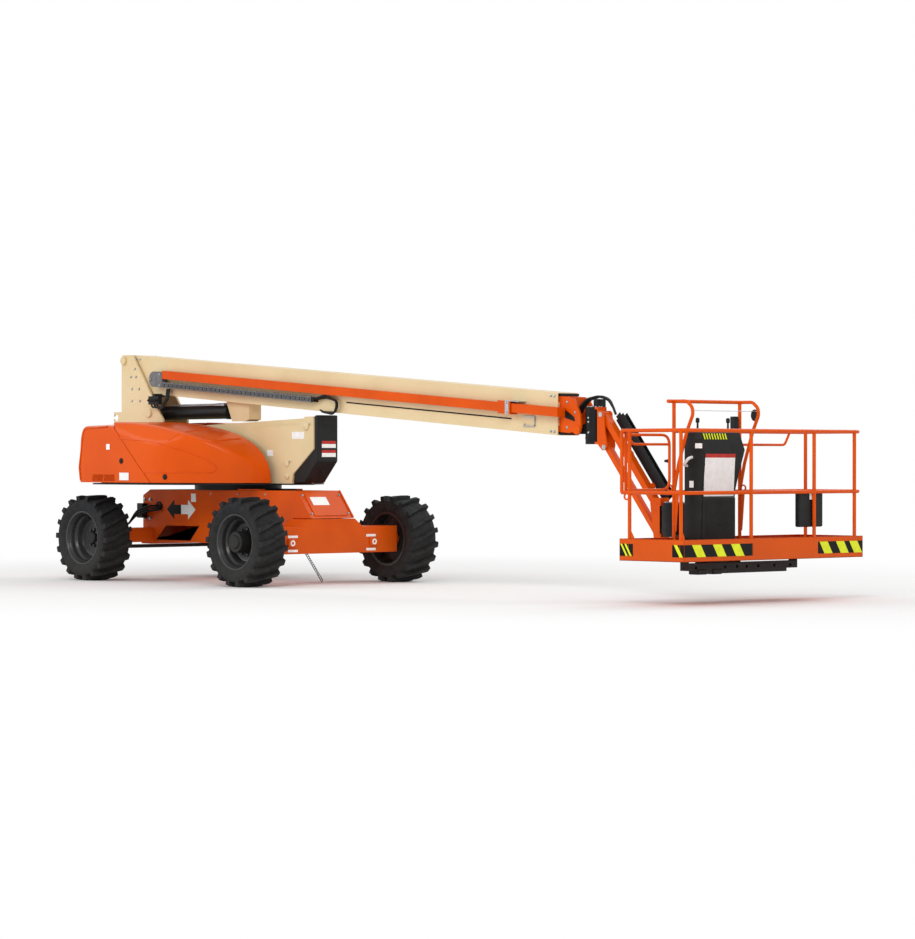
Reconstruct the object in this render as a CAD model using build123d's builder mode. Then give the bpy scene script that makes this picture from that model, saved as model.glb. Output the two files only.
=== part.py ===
"""Articulated boom lift with a telescopic upper boom, a jib and a work platform.

Millimetres, +Z up, +X towards the platform, +Y to the machine's left.
Outlines are written from the point on the ground midway between the axles,
and the helpers move them by chassis_x so that the row's origin is the middle
of the whole machine's footprint.
"""

import os
from math import atan2, cos, degrees, pi, radians, sin

from build123d import *

os.makedirs("parts", exist_ok=True)

# Whole machine
chassis_x = -2711.5
wheelbase = 2570
tyre_outer_y = 1215
slew_x = -110

# Wheels: radii and widths
tyre_r = 457
tyre_width = 356
carcass_r = 424
lugs_per_row = 18
lug_reach = 50
bead_r = 288
rim_lip = 14
step_r = 226
disc_y = 95
disc_thick = 14
hub_r = 112
steer_hub_r = 70
kingpin_y = 800
drive_hub_reach = 128
axle_z = tyre_r

# Chassis box
chassis_half_w = 300
chassis_wall = 12
chassis_top = 970
chassis_bottom = 405
rear_end = -1380
front_end = 1140

# Turntable
ring_r = 465
ring_top = 1027.5
tray_bottom = 1028
tray_top = 1043
mast_in = 125
mast_out = 150
tower_foot = (1180, 1640)
link_foot = (870, 1250)
tower_cyl_foot = (880, 1120)

# Tower
tower_vector = (-2750, -100)
tower_half_w = 110
tower_half_h = 85
pin_r = 28
pin_gap = 1
link_in = 68
link_out = 104
link_half_h = 45
link_pin_end = 60

# Upright
upright_in = 155
upright_out = 180
boom_pivot = (-1873, 2385)
lift_foot = (-1420, 1802)
lift_eye = (-20, 1806)

# Upper boom, its slope downwards towards the platform
boom_half_w = 140
boom_rear = -1765
boom_front = 4852
boom_top_rear = boom_pivot[1] + 62
boom_top_front = boom_top_rear - 515
boom_height = 408
boom_wall = 9
fly_half_w = 113
fly_gap = 32
fly_wall = 8
fly_rear = -900
fly_front = 4990
level_pivot = (5085, 1575)

# Jib
swing_x = 5205
swing_r = 86
yoke_in = 44
yoke_out = 60
jib_top_pin = (5345, 1720)
jib_low_pin = (5390, 1410)
jib_length = 1080
jib_angle = -51.3
jib_cylinder_foot = (5362, 1572)
jib_cylinder_eye = (5640, 1312)
jib_cylinder_y = 90
rotator_x = 6235
rotator_r = 115

# Platform
floor_low = 394
toe_top = 590
mid_rail_z = 1000
top_rail_z = 1550
platform_back = 6715
platform_front = 7465
platform_half = 1200
rail_r = 17
gate_hinge_y = 50 - platform_half
gate_low = mid_rail_z + 20
gate_top = top_rail_z - 35
gate_post_end = 14.5


def slab(points, low, high, mode=Mode.ADD):
    """A plate drawn in side view (x, z) that runs from y = low to y = high."""
    plane = Plane(origin=(chassis_x, high, 0), x_dir=(1, 0, 0), z_dir=(0, -1, 0))
    with BuildSketch(plane) as side:
        with BuildLine():
            Polyline(*points, close=True)
        make_face()
    extrude(side.sketch, amount=high - low, mode=mode)


def pair(points, inner, outer, mode=Mode.ADD):
    """The same plate on both sides of the middle plane."""
    slab(points, inner, outer, mode)
    slab(points, -outer, -inner, mode)


def tray(points, low, high, mode=Mode.ADD):
    """A plate drawn in plan (x, y) that runs from z = low to z = high."""
    with BuildSketch(Plane.XY.offset(low)) as plan:
        with BuildLine():
            Polyline(*[(x + chassis_x, y) for x, y in points], close=True)
        make_face()
    extrude(plan.sketch, amount=high - low, mode=mode)


def block(x_low, x_high, y_low, y_high, z_low, z_high, mode=Mode.ADD):
    """A box given by its faces."""
    corners = ((x_low, z_low), (x_high, z_low), (x_high, z_high), (x_low, z_high))
    slab(corners, y_low, y_high, mode)


def bar(start, end, radius, mode=Mode.ADD):
    """A round bar between two points (x, y, z)."""
    foot = Vector(*start) + Vector(chassis_x, 0, 0)
    head = Vector(*end) + Vector(chassis_x, 0, 0)
    with BuildSketch(Plane(origin=foot, z_dir=head - foot)) as section:
        Circle(radius)
    extrude(section.sketch, amount=(head - foot).length, mode=mode)


def pin(place, half_length, radius, mode=Mode.ADD):
    """A cross bar along Y through a point (x, z) of the side view."""
    bar((place[0], -half_length, place[1]), (place[0], half_length, place[1]), radius, mode)


def stub(place, low, high, radius, mode=Mode.ADD):
    """A bar along Y through a point (x, z), from y = low to y = high."""
    bar((place[0], low, place[1]), (place[0], high, place[1]), radius, mode)


def post(x, y, low, high, radius, mode=Mode.ADD):
    """An upright round bar."""
    bar((x, y, low), (x, y, high), radius, mode)


def beam_outline(start, end, half_height, first=0.0, last=1.0):
    """Side view of a straight beam along start to end, between two fractions of it."""
    run = Vector(end[0] - start[0], end[1] - start[1])
    across = Vector(-run.Y, run.X).normalized() * half_height
    foot = Vector(*start) + run * first
    head = Vector(*start) + run * last
    return [
        (foot.X - across.X, foot.Y - across.Y),
        (head.X - across.X, head.Y - across.Y),
        (head.X + across.X, head.Y + across.Y),
        (foot.X + across.X, foot.Y + across.Y),
    ]


def moved(place, vector):
    """A side-view point shifted by a vector."""
    return (place[0] + vector[0], place[1] + vector[1])


# Chassis: open box with a sloping lid over the drive axle
chassis_side = (
    (rear_end, chassis_bottom), (front_end, chassis_bottom), (front_end, 685), (1420, 685),
    (1190, chassis_top), (-1255, chassis_top), (rear_end, 908),
)
chassis_core = (
    (rear_end + chassis_wall, chassis_bottom + chassis_wall),
    (front_end - chassis_wall, chassis_bottom + chassis_wall),
    (front_end - chassis_wall, 700), (1390, 700), (1185, chassis_top - chassis_wall),
    (-1250, chassis_top - chassis_wall), (rear_end + chassis_wall, 900),
)
side_window = ((-978, 581), (-405, 581), (-559, 424), (-1157, 424))

with BuildPart() as chassis_frame:
    slab(chassis_side, -chassis_half_w, chassis_half_w)
    slab(chassis_core, chassis_wall - chassis_half_w, chassis_half_w - chassis_wall, Mode.SUBTRACT)
    slab(side_window, -2 * chassis_half_w, 2 * chassis_half_w, Mode.SUBTRACT)

chassis_frame.part.label = "chassis_frame"
export_step(chassis_frame.part, "parts/chassis_frame.step")

# Drive axle: box with two arms into the rims
axle_x = wheelbase / 2
axle_front = 1420
axle_arm_top = 600
axle_arm_low = 324
axle_arm_y = 905
axle_wall = 18
drive_face = (
    (-axle_arm_y, axle_arm_low), (axle_arm_y, axle_arm_low), (axle_arm_y, axle_arm_top),
    (420, axle_arm_top), (315, 680), (-315, 680), (-420, axle_arm_top), (-axle_arm_y, axle_arm_top),
)

with BuildPart() as drive_axle:
    with BuildSketch(Plane(origin=(chassis_x + axle_front, 0, 0), x_dir=(0, 1, 0), z_dir=(1, 0, 0))) as face:
        with BuildLine():
            Polyline(*drive_face, close=True)
        make_face()
    extrude(face.sketch, amount=-(axle_front - front_end))
    block(front_end, axle_front - axle_wall, axle_wall - axle_arm_y, axle_arm_y - axle_wall,
          axle_arm_low + axle_wall, axle_arm_top - axle_wall, Mode.SUBTRACT)
    for side in (-1, 1):
        bar((axle_x, side * axle_arm_y, axle_z), (axle_x, side * (axle_arm_y + 60), axle_z), 95)
        bar((axle_x, side * axle_arm_y, axle_z), (axle_x, side * (axle_arm_y + 117), axle_z), 45)

drive_axle.part.label = "drive_axle"
export_step(drive_axle.part, "parts/drive_axle.step")

# Steer axle: beam under the tail with a kingpin boss at each end
steer_x = -axle_x
steer_beam_low = 400
steer_beam_top = 556
kingpin_r = 42
fork_gap = 62

with BuildPart() as steer_axle:
    block(steer_x - 90, steer_x + 90, -690, -chassis_half_w, steer_beam_low, steer_beam_top)
    block(steer_x - 90, steer_x + 90, chassis_half_w, 690, steer_beam_low, steer_beam_top)
    block(steer_x - 95, steer_x + 95, -chassis_half_w - 20, chassis_half_w + 20, 380, chassis_bottom)
    for side in (-1, 1):
        low, high = sorted((side * 650, side * (kingpin_y)))
        block(steer_x - 40, steer_x + 40, low, high, 425, 530)
        post(steer_x, side * kingpin_y, 425, 530, kingpin_r)
        post(steer_x, side * kingpin_y, 380, 575, 24)

steer_axle.part.label = "steer_axle"
export_step(steer_axle.part, "parts/steer_axle.step")

# Knuckles: fork round the kingpin, spindle outwards, steering arm to the rear
for name, side in (("knuckle_left", 1), ("knuckle_right", -1)):
    with BuildPart() as knuckle:
        for low, high in ((370, 419), (536, 585)):
            post(steer_x, side * kingpin_y, low, high, kingpin_r)
            near, far = sorted((side * kingpin_y, side * (kingpin_y + 90)))
            block(steer_x - 40, steer_x + 40, near, far, low, high)
        near, far = sorted((side * (kingpin_y + 50), side * (kingpin_y + 90)))
        block(steer_x - 60, steer_x + 60, near, far, 370, 585)
        bar((steer_x, side * (kingpin_y + 90), axle_z), (steer_x, side * (kingpin_y + 235), axle_z), 34)
        near, far = sorted((side * (kingpin_y - 30), side * (kingpin_y + 30)))
        block(steer_x - 190, steer_x - 20, near, far, 375, 397)
        post(steer_x, side * kingpin_y, 366, 590, 25, Mode.SUBTRACT)
    knuckle.part.label = name
    export_step(knuckle.part, f"parts/{name}.step")

# Tie rod between the steering arms
tie_z = 350
tie_x = steer_x - 170
with BuildPart() as tie_rod:
    bar((tie_x, -kingpin_y, tie_z), (tie_x, kingpin_y, tie_z), 20)
    for side in (-1, 1):
        post(tie_x, side * kingpin_y, tie_z - 30, 374.5, 24)
tie_rod.part.label = "tie_rod"
export_step(tie_rod.part, "parts/tie_rod.step")

# Tyre, made once about the Y axis: a flat-sided drum and two staggered rows of hooked lugs
carcass_sides = lugs_per_row
carcass_inset = 12
lug_root_r = 396
lug_top_r = (tyre_r**2 - lug_reach**2) ** 0.5
lug_lean = degrees(atan2(lug_reach, lug_top_r))
lug_pitch = 360 / lugs_per_row
flat_share = cos(pi / carcass_sides)
bore_r = (bead_r + 0.3) / flat_share
half_tread = tyre_width / 2
# one lug in plan: distance from the tyre's middle towards its shoulder, distance along the tread
lug_plan = ((half_tread - 4, -lug_reach), (half_tread - 4, 6), (6, lug_reach), (-6, 20))


def drum(half_width, radius, mode=Mode.ADD):
    """A flat-sided drum about the Y axis, its radius taken to the corners."""
    with BuildSketch(Plane(origin=(0, -half_width, 0), x_dir=(1, 0, 0), z_dir=(0, 1, 0))) as ring:
        RegularPolygon(radius, carcass_sides)
    extrude(ring.sketch, amount=2 * half_width, mode=mode)


with BuildPart() as tyre_blank:
    drum(half_tread - carcass_inset, carcass_r)
    for row, first in ((1, lug_lean - 90), (-1, lug_lean - 90 + lug_pitch / 2)):
        for count in range(lugs_per_row):
            turn = radians(first + count * lug_pitch)
            out = Vector(cos(turn), 0, sin(turn))
            foot = Plane(origin=out * lug_root_r, x_dir=(0, row, 0), z_dir=out)
            with BuildSketch(foot) as tread:
                with BuildLine():
                    Polyline(*[(across, row * forward) for across, forward in lug_plan], close=True)
                make_face()
            extrude(tread.sketch, amount=lug_top_r - lug_root_r)
    drum(half_tread + 1, bore_r, Mode.SUBTRACT)

# Rims: a flanged barrel that steps in to a deep disc with the hub on it
wheels = (
    ("drive_left", axle_x, 1, True), ("drive_right", axle_x, -1, True),
    ("steer_left", steer_x, 1, False), ("steer_right", steer_x, -1, False),
)
for name, x, side, driven in wheels:
    inner_y = side * (tyre_outer_y - tyre_width)
    middle_y = side * (tyre_outer_y - tyre_width / 2)
    wheel_plane = Plane(origin=(chassis_x + x, inner_y, axle_z), x_dir=(0, side, 0), z_dir=(side, 0, 0))
    axis = Axis((chassis_x + x, 0, axle_z), (0, 1, 0))
    with BuildPart() as tyre:
        with Locations((chassis_x + x, middle_y, axle_z)):
            add(tyre_blank.part)
    tyre.part.label = f"tyre_{name}"
    export_step(tyre.part, f"parts/tyre_{name}.step")

    hub = hub_r if driven else steer_hub_r
    hub_out = tyre_width - 10 if driven else disc_y + 130
    web = disc_y + 60
    rim_section = (
        (20, bead_r), (20, bead_r - rim_lip), (web, bead_r - rim_lip), (web, 0), (hub_out, 0),
        (hub_out, hub - rim_lip), (hub_out - rim_lip, hub), (web + disc_thick, hub),
        (web + disc_thick, step_r - 22), (web + 3 * disc_thick, step_r), (tyre_width - 110, step_r),
        (tyre_width - 96, step_r + 22), (tyre_width - 56, step_r + 22), (tyre_width - 40, bead_r - rim_lip),
        (tyre_width - 20, bead_r - rim_lip), (tyre_width - 20, bead_r),
    )
    with BuildPart() as rim:
        with BuildSketch(wheel_plane) as section:
            with BuildLine():
                Polyline(*rim_section, close=True)
            make_face()
        revolve(section.sketch, axis)
        if driven:
            bar((x, inner_y, axle_z), (x, side * (axle_arm_y + 119), axle_z), 46, Mode.SUBTRACT)
        else:
            bar((x, inner_y, axle_z), (x, side * (kingpin_y + 240), axle_z), 35, Mode.SUBTRACT)
    rim.part.label = f"rim_{name}"
    export_step(rim.part, f"parts/rim_{name}.step")

# Slew ring
with BuildPart() as slew_ring:
    post(slew_x, 0, chassis_top, ring_top, ring_r)
    post(slew_x, 0, chassis_top, ring_top, ring_r - 110, Mode.SUBTRACT)
slew_ring.part.label = "slew_ring"
export_step(slew_ring.part, "parts/slew_ring.step")

# Hoods in plan: straight sides, then an ellipse to the mast; the tray lies inside it
hood_in = 225
hood_out = 1095
hood_low = 1050
hood_wall = 10
hood_nose = (710, 160)
hood_bend_x = -450
hood_tail_x = -1530
seam_low = (-255, hood_low)
seam_high = (-935, 1702)
louvre_windows = ((-1240, -1050), (-1035, -850))
nose_turns = (15, 30, 45, 60, 75)
tray_inset = 17


def nose_point(turn, inset=0):
    """A point of the plan's nose, an ellipse from the straight side to the mast."""
    reach = hood_nose[0] - hood_bend_x - inset
    bulge = hood_out - hood_nose[1] - inset
    return (hood_bend_x + reach * sin(radians(turn)), hood_nose[1] + bulge * cos(radians(turn)))


# Turntable: tray in plan, two mast plates and the hoods' hinge posts on it
hinge_y = 235
hinge_z = 1610
# each hinge: place along the hood, height of its block under the hood's top
hinges = ((-740, 1684), (-420, 1652))
tray_half = hood_out - tray_inset
tray_side = [(-1420, 900), (-1250, tray_half), (hood_bend_x, tray_half)]
tray_side += [nose_point(turn, tray_inset) for turn in nose_turns]
tray_side += [(hood_nose[0] - tray_inset, 165), (950, 160)]
tray_plan = tray_side + [(x, -y) for x, y in reversed(tray_side)]
mast_side = (
    (-650, tray_top), (953, tray_top), (969, 1144), (1296, 1404), (1296, 1700), (1288, 1740), (1161, 1740),
    (1033, 1654), (678, 1646), (268, 1628), (-100, 1420), (-650, 1180),
)
with BuildPart() as turntable:
    tray(tray_plan, tray_bottom, tray_top)
    pair(mast_side, mast_in, mast_out)
    block(-650, -630, -mast_out, mast_out, tray_top, 1140)
    pin(tower_foot, mast_out, pin_r)
    for low, high in ((-mast_out, -link_pin_end), (link_pin_end, mast_out)):
        stub(link_foot, low, high, pin_r)
    pin(tower_cyl_foot, mast_out, 22)
    for side in (-1, 1):
        near, far = sorted((side * (hinge_y - 12), side * (hinge_y + 15)))
        for x, block_top in hinges:
            block(x + 30, x + 45, near, far, tray_top, hinge_z + 9)
            bar((x - 10, side * hinge_y, hinge_z), (x + 30, side * hinge_y, hinge_z), 8)
turntable.part.label = "turntable"
export_step(turntable.part, "parts/turntable.step")

# Front cover over the mast's nose
cover_side = (
    (985, tray_top + 7), (1140, tray_top + 7), (1347, 1275), (1347, 1755), (1296, 1750), (1296, 1404),
    (969, 1144),
)
with BuildPart() as front_cover:
    slab(cover_side, -140, 140)
front_cover.part.label = "front_cover"
export_step(front_cover.part, "parts/front_cover.step")

# Hoods: a fixed tail shell and a lifting shell each side, two louvre windows in the tail's foot
hood_plan = [
    (hood_tail_x, hood_in), (hood_tail_x, 1040), (hood_tail_x + 25, 1080), (hood_tail_x + 60, hood_out),
    (hood_bend_x, hood_out),
] + [nose_point(turn) for turn in nose_turns] + [(hood_nose[0] - 2, hood_in)]
hood_profile = (
    (710, 1110), (650, 1270), (540, 1385), (400, 1475), (150, 1570), (-300, 1655), (-800, 1702),
    (-1250, 1700), (-1400, 1670), (-1440, 1620), (-1522, 1204), (-1480, hood_low),
)
door_front = ((0, 1000), (1100, 1000), (1100, 1440), (1060, 1515), (980, 1590), (700, 1705), (0, 1740))
tail_front = ((0, 1000), (1100, 1000), (1100, 1630), (1085, 1655), (0, 1720))


def hood_body(side, inset, front_view):
    """One hood half, tail and door together: plan, side profile and front view, drawn in by inset."""
    middle = (hood_tail_x + hood_nose[0]) / 2
    along_share = 1 - inset / (hood_nose[0] - middle)
    across_share = 1 - inset / hood_out
    plan = []
    for x, y in hood_plan:
        inner = hood_in - 3 * inset if y == hood_in else y * across_share
        plan.append((middle + (x - middle) * along_share, side * inner))
    low = hood_low - inset
    tray(plan, low, 1900)
    profile = [(middle + (x - middle) * along_share, z - inset) for x, z in hood_profile]
    slab([(hood_nose[0] + 60, low)] + profile, -1300, 1300, Mode.INTERSECT)
    with BuildSketch(Plane(origin=(chassis_x - 1600, 0, 0), x_dir=(0, 1, 0), z_dir=(1, 0, 0))) as front:
        with BuildLine():
            Polyline(*[(side * y * across_share, z - inset) for y, z in front_view], close=True)
        make_face()
    extrude(front.sketch, amount=2400, mode=Mode.INTERSECT)


tail_cut = (
    (-1600, 1000), (seam_low[0] - 4, 1000), seam_low, seam_high, (seam_high[0] - 4, 1900), (-1600, 1900),
)
door_cut = (
    (900, 1000), (seam_low[0] + 4, 1000), (seam_low[0] + 4, hood_low), (seam_high[0] + 8, 1702),
    (seam_high[0] + 8, 1900), (900, 1900),
)
for name, side in (("left", 1), ("right", -1)):
    with BuildPart() as tail_hollow:
        hood_body(side, 2 * hood_wall, tail_front)
    with BuildPart() as tail:
        hood_body(side, 0, tail_front)
        add(tail_hollow.part, mode=Mode.SUBTRACT)
        slab(tail_cut, -1300, 1300, Mode.INTERSECT)
        near, far = sorted((side * 900, side * 1200))
        for start, end in louvre_windows:
            block(start, end, near, far, hood_low + 14, 1134, Mode.SUBTRACT)
        near, far = sorted((side * hood_in, side * 870))
        block(-1474, -1405, near, far, tray_top, hood_low + 10)
    tail.part.label = f"tail_{name}"
    export_step(tail.part, f"parts/tail_{name}.step")
    with BuildPart() as door_hollow:
        hood_body(side, 2 * hood_wall, door_front)
    with BuildPart() as door:
        hood_body(side, 0, door_front)
        add(door_hollow.part, mode=Mode.SUBTRACT)
        slab(door_cut, -1300, 1300, Mode.INTERSECT)
        near, far = sorted((side * (hinge_y - 10), side * (hinge_y + 18)))
        for x, block_top in hinges:
            block(x, x + 28, near, far, hinge_z - 18, block_top)
            bar((x - 1, side * hinge_y, hinge_z), (x + 29, side * hinge_y, hinge_z), 9, Mode.SUBTRACT)
    door.part.label = f"hood_{name}"
    export_step(door.part, f"parts/hood_{name}.step")

# Counterweight in the tail, engine on the left
with BuildPart() as counterweight:
    block(-1400, -1010, -860, -230, tray_top, 1520)
    block(-1400, -1010, 230, 860, tray_top, 1520)
    block(-1120, -1010, -230, 230, tray_top, 1085)
counterweight.part.label = "counterweight"
export_step(counterweight.part, "parts/counterweight.step")
with BuildPart() as engine:
    block(-850, -380, 320, 800, tray_top, 1400)
engine.part.label = "engine"
export_step(engine.part, "parts/engine.step")

# Tower boom and timing link
tower_head = moved(tower_foot, tower_vector)
link_head = moved(link_foot, tower_vector)
tower_lug = (80, 1470)
with BuildPart() as tower_boom:
    slab(beam_outline(tower_foot, tower_head, tower_half_h, 0.015, 0.985), -tower_half_w, tower_half_w)
    core = beam_outline(tower_foot, tower_head, tower_half_h - 9, 0.03, 0.97)
    slab(core, 9 - tower_half_w, tower_half_w - 9, Mode.SUBTRACT)
    for place in (tower_foot, tower_head):
        pin(place, tower_half_w, 60)
        pin(place, tower_half_w + 5, pin_r + pin_gap, Mode.SUBTRACT)
    pair(((0, 1530), (160, 1530), (120, 1430), (40, 1430)), 52, 72)
tower_boom.part.label = "tower_boom"
export_step(tower_boom.part, "parts/tower_boom.step")

with BuildPart() as timing_link:
    pair(beam_outline(link_foot, link_head, link_half_h), link_in, link_out)
    for place in (link_foot, link_head):
        for low, high in ((-link_out, -link_in), (link_in, link_out)):
            stub(place, low, high, 50)
            stub(place, low, high, pin_r + pin_gap, Mode.SUBTRACT)
    block(-1500, -1440, -link_in, link_in, 1125, 1190)
timing_link.part.label = "timing_link"
export_step(timing_link.part, "parts/timing_link.step")


def along(foot, run, distance, y=0.0):
    """The (x, y, z) point a distance along a line in a side plane from a side-view point."""
    return (foot[0] + run.X * distance, y, foot[1] + run.Z * distance)


# name, foot pin, rod eye, side plane y, barrel radius, rod radius, barrel length, rod length,
# foot bore, foot boss
cylinders = (
    ("tower_cylinder", tower_cyl_foot, tower_lug, 0, 45, 27, 780, 770, 22, 40),
    ("lift_cylinder", lift_foot, lift_eye, 0, 74, 42, 1190, 1270, 30, 60),
    ("jib_cylinder", jib_cylinder_foot, jib_cylinder_eye, jib_cylinder_y, 24, 13, 335, 320, 12, 22),
)
for name, foot, eye, y, barrel_r, rod_r, barrel_end, rod_length, bore_r, boss_r in cylinders:
    run = Vector(eye[0] - foot[0], 0, eye[1] - foot[1])
    length = run.length
    run = run.normalized()
    with BuildPart() as barrel:
        bar(along(foot, run, boss_r * 0.6, y), along(foot, run, barrel_end, y), barrel_r)
        bar(along(foot, run, boss_r + 12, y), along(foot, run, barrel_end + 5, y), rod_r + 1, Mode.SUBTRACT)
        stub(foot, y - barrel_r * 0.9, y + barrel_r * 0.9, boss_r)
        stub(foot, y - barrel_r, y + barrel_r, bore_r + pin_gap, Mode.SUBTRACT)
    barrel.part.label = f"{name}_barrel"
    export_step(barrel.part, f"parts/{name}_barrel.step")
    with BuildPart() as rod:
        bar(along(foot, run, length - rod_length, y), along(foot, run, length, y), rod_r)
        stub(eye, y - rod_r * 0.9, y + rod_r * 0.9, rod_r * 1.35)
        stub(eye, y - rod_r, y + rod_r, rod_r * 0.6, Mode.SUBTRACT)
    rod.part.label = f"{name}_rod"
    export_step(rod.part, f"parts/{name}_rod.step")

# Upright: two side plates with pins for the tower, the link, the boom and the lift cylinder
upright_side = (
    (-1920, 1060), (-1730, 1060), (-1410, 1430), (-1190, 1640), (-1180, 1727), (-1285, 1859),
    moved(boom_pivot, (158, 45)), moved(boom_pivot, (123, 62)), moved(boom_pivot, (-30, 62)),
    moved(boom_pivot, (-47, 40)),
)
with BuildPart() as upright:
    pair(upright_side, upright_in, upright_out)
    block(-1920, -1900, -upright_in, upright_in, 1300, 1980)
    for place, radius in ((tower_head, pin_r), (link_head, pin_r), (boom_pivot, pin_r), (lift_foot, 30)):
        pin(place, upright_out + 14, radius)
    block(-2060, -1910, -upright_out, 20 - upright_out, 1700, 1820)
    pin((-2022, 1757), 200, 40, Mode.SUBTRACT)
upright.part.label = "upright"
export_step(upright.part, "parts/upright.step")

# Upper boom: open box, rear ears to the pivot, bracket for the lift cylinder
tube_top = 137
tube_deep = 227
boom_drop = (boom_top_front - boom_top_rear) / (boom_front - boom_rear)


def boom_z(x, depth):
    """Height of a line parallel to the boom, depth below its top face."""
    return boom_top_rear + (x - boom_rear) * boom_drop - depth


def boom_run(x_low, x_high, top, bottom):
    """Side view of a length of the boom between two depths."""
    return (
        (x_low, boom_z(x_low, bottom)), (x_high, boom_z(x_high, bottom)),
        (x_high, boom_z(x_high, top)), (x_low, boom_z(x_low, top)),
    )


ear_side = [moved(boom_pivot, shift) for shift in (
    (108, 55), (0, 62), (-47, 35), (-62, 0), (-42, -45), (108, -205),
)]
bracket_rear = -211
bracket_front = 170
bracket_low = 1702
bracket_root = boom_height - 3
bracket_plate = bracket_front - 12
bracket_side = (
    (bracket_rear, boom_z(bracket_rear, bracket_root)), (bracket_front, boom_z(bracket_front, bracket_root)),
    (bracket_front, bracket_low + 18), (bracket_front - 60, bracket_low), (-112, bracket_low),
)
bracket_end = (
    (bracket_plate, bracket_low + 18), (bracket_front, bracket_low + 18),
    (bracket_front, boom_z(bracket_front, bracket_root)), (bracket_plate, boom_z(bracket_plate, bracket_root)),
)
clamp_rear = 4130
clamp_front = 4300
with BuildPart() as main_boom:
    slab(boom_run(boom_rear, boom_front, 0, boom_height), -boom_half_w, boom_half_w)
    slab(boom_run(boom_rear - 1, boom_front + 1, boom_wall, boom_height - boom_wall),
         boom_wall - boom_half_w, boom_half_w - boom_wall, Mode.SUBTRACT)
    pair(ear_side, boom_half_w - 35, boom_half_w)
    slab(boom_run(boom_rear, boom_rear + 15, 2, boom_height - 2), 1 - boom_half_w, boom_half_w - 1)
    pin(boom_pivot, boom_half_w + 5, pin_r + pin_gap, Mode.SUBTRACT)
    pair(bracket_side, 62, 84)
    slab(bracket_end, -80, 80)
    slab(boom_run(clamp_rear, clamp_front, tube_top - 18, tube_deep + 18), -242, 1 - boom_half_w)
    slab(boom_run(clamp_rear - 1, clamp_front + 1, tube_top - 6, tube_deep + 6), -231, -154, Mode.SUBTRACT)
    pad = fly_gap - 1
    slab(boom_run(boom_front - 160, boom_front - 2, boom_wall - 1, pad), -80, 80)
    slab(boom_run(boom_front - 160, boom_front - 2, boom_height - pad, boom_height - boom_wall + 1), -80, 80)
    pads = boom_run(boom_front - 160, boom_front - 2, 90, boom_height - 90)
    pair(pads, fly_half_w + 1, boom_half_w - boom_wall + 1)
main_boom.part.label = "main_boom"
export_step(main_boom.part, "parts/main_boom.step")

# Fly boom: inner box, nose plates to the level pivot
nose_side = (
    (4940, 1890), (5040, 1870), (5125, 1720), (5133, 1600), (5110, 1545), (4940, 1560),
)
with BuildPart() as fly_boom:
    slab(boom_run(fly_rear, fly_front, fly_gap, boom_height - fly_gap), -fly_half_w, fly_half_w)
    slab(boom_run(fly_rear - 1, fly_front - 12, fly_gap + fly_wall, boom_height - fly_gap - fly_wall),
         fly_wall - fly_half_w, fly_half_w - fly_wall, Mode.SUBTRACT)
    pair(nose_side, 90, fly_half_w)
    pin(level_pivot, fly_half_w, pin_r)
fly_boom.part.label = "fly_boom"
export_step(fly_boom.part, "parts/fly_boom.step")

# Side tube that rides with the fly boom
tube_wall = 5
with BuildPart() as side_tube:
    slab(boom_run(-1142, fly_front - 60, tube_top, tube_deep), -225, -160)
    slab(boom_run(boom_front + 25, fly_front - 60, tube_top, tube_deep), -225, -fly_half_w)
    core = boom_run(-1150, boom_front, tube_top + tube_wall, tube_deep - tube_wall)
    slab(core, tube_wall - 225, -160 - tube_wall, Mode.SUBTRACT)
side_tube.part.label = "side_tube"
export_step(side_tube.part, "parts/side_tube.step")

# Energy chain on the boom's near side: a band of links with a loop at the rear end
chain_top = 262
chain_deep = 322
chain_out = -218
chain_end = 1360
chain_loop_x = -1295
chain_loop_r = 84
chain_link = 146
link_gap = 16
loop_middle = (chain_loop_x, boom_z(chain_loop_x, chain_deep - chain_loop_r))
loop_turns = 9
with BuildPart() as energy_chain:
    slab(boom_run(chain_loop_x, chain_end, chain_top + 6, chain_deep - 6), chain_out + 8, -boom_half_w)
    for count in range(int((chain_end - chain_loop_x) / chain_link)):
        start = chain_loop_x + count * chain_link
        link = boom_run(start, start + chain_link - link_gap, chain_top, chain_deep)
        slab(link, chain_out, chain_out + 30)
    outer = []
    for count in range(loop_turns + 1):
        turn = pi * count / loop_turns
        outer.append(moved(loop_middle, (-chain_loop_r * sin(turn), -chain_loop_r * cos(turn))))
    slab(outer + [moved(outer[-1], (145, -11)), moved(outer[0], (145, -11))], chain_out, -boom_half_w)
energy_chain.part.label = "energy_chain"
export_step(energy_chain.part, "parts/energy_chain.step")

# Level head with the swing actuator
with BuildPart() as level_head:
    pin(level_pivot, 78, 40)
    slab(((5085, 1535), (5190, 1535), (5190, 1660), (5085, 1615)), -60, 60)
    post(swing_x, 0, 1462, 1768, swing_r)
    pin(level_pivot, 85, pin_r + pin_gap, Mode.SUBTRACT)
level_head.part.label = "level_head"
export_step(level_head.part, "parts/level_head.step")

# Jib yoke: plates above and below the actuator, ears for the jib's two pins
ear_plate = (
    (5300, 1440), (5365, 1380), (5415, 1385), (5425, 1430), (5400, 1560), (5385, 1735), (5365, 1755),
    (5300, 1755),
)
with BuildPart() as jib_yoke:
    for low, high in ((1439, 1461.5), (1768.5, 1791)):
        post(swing_x, 0, low, high, swing_r)
        block(swing_x, 5308, -yoke_out, yoke_out, low, high)
    block(5298, 5308, -yoke_out, yoke_out, 1439, 1791)
    pair(ear_plate, yoke_in, yoke_out)
    for place in (jib_top_pin, jib_low_pin):
        pin(place, yoke_out, 14)
    stub(jib_cylinder_foot, yoke_out - 5, jib_cylinder_y + 26, 12)
jib_yoke.part.label = "jib_yoke"
export_step(jib_yoke.part, "parts/jib_yoke.step")

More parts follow.
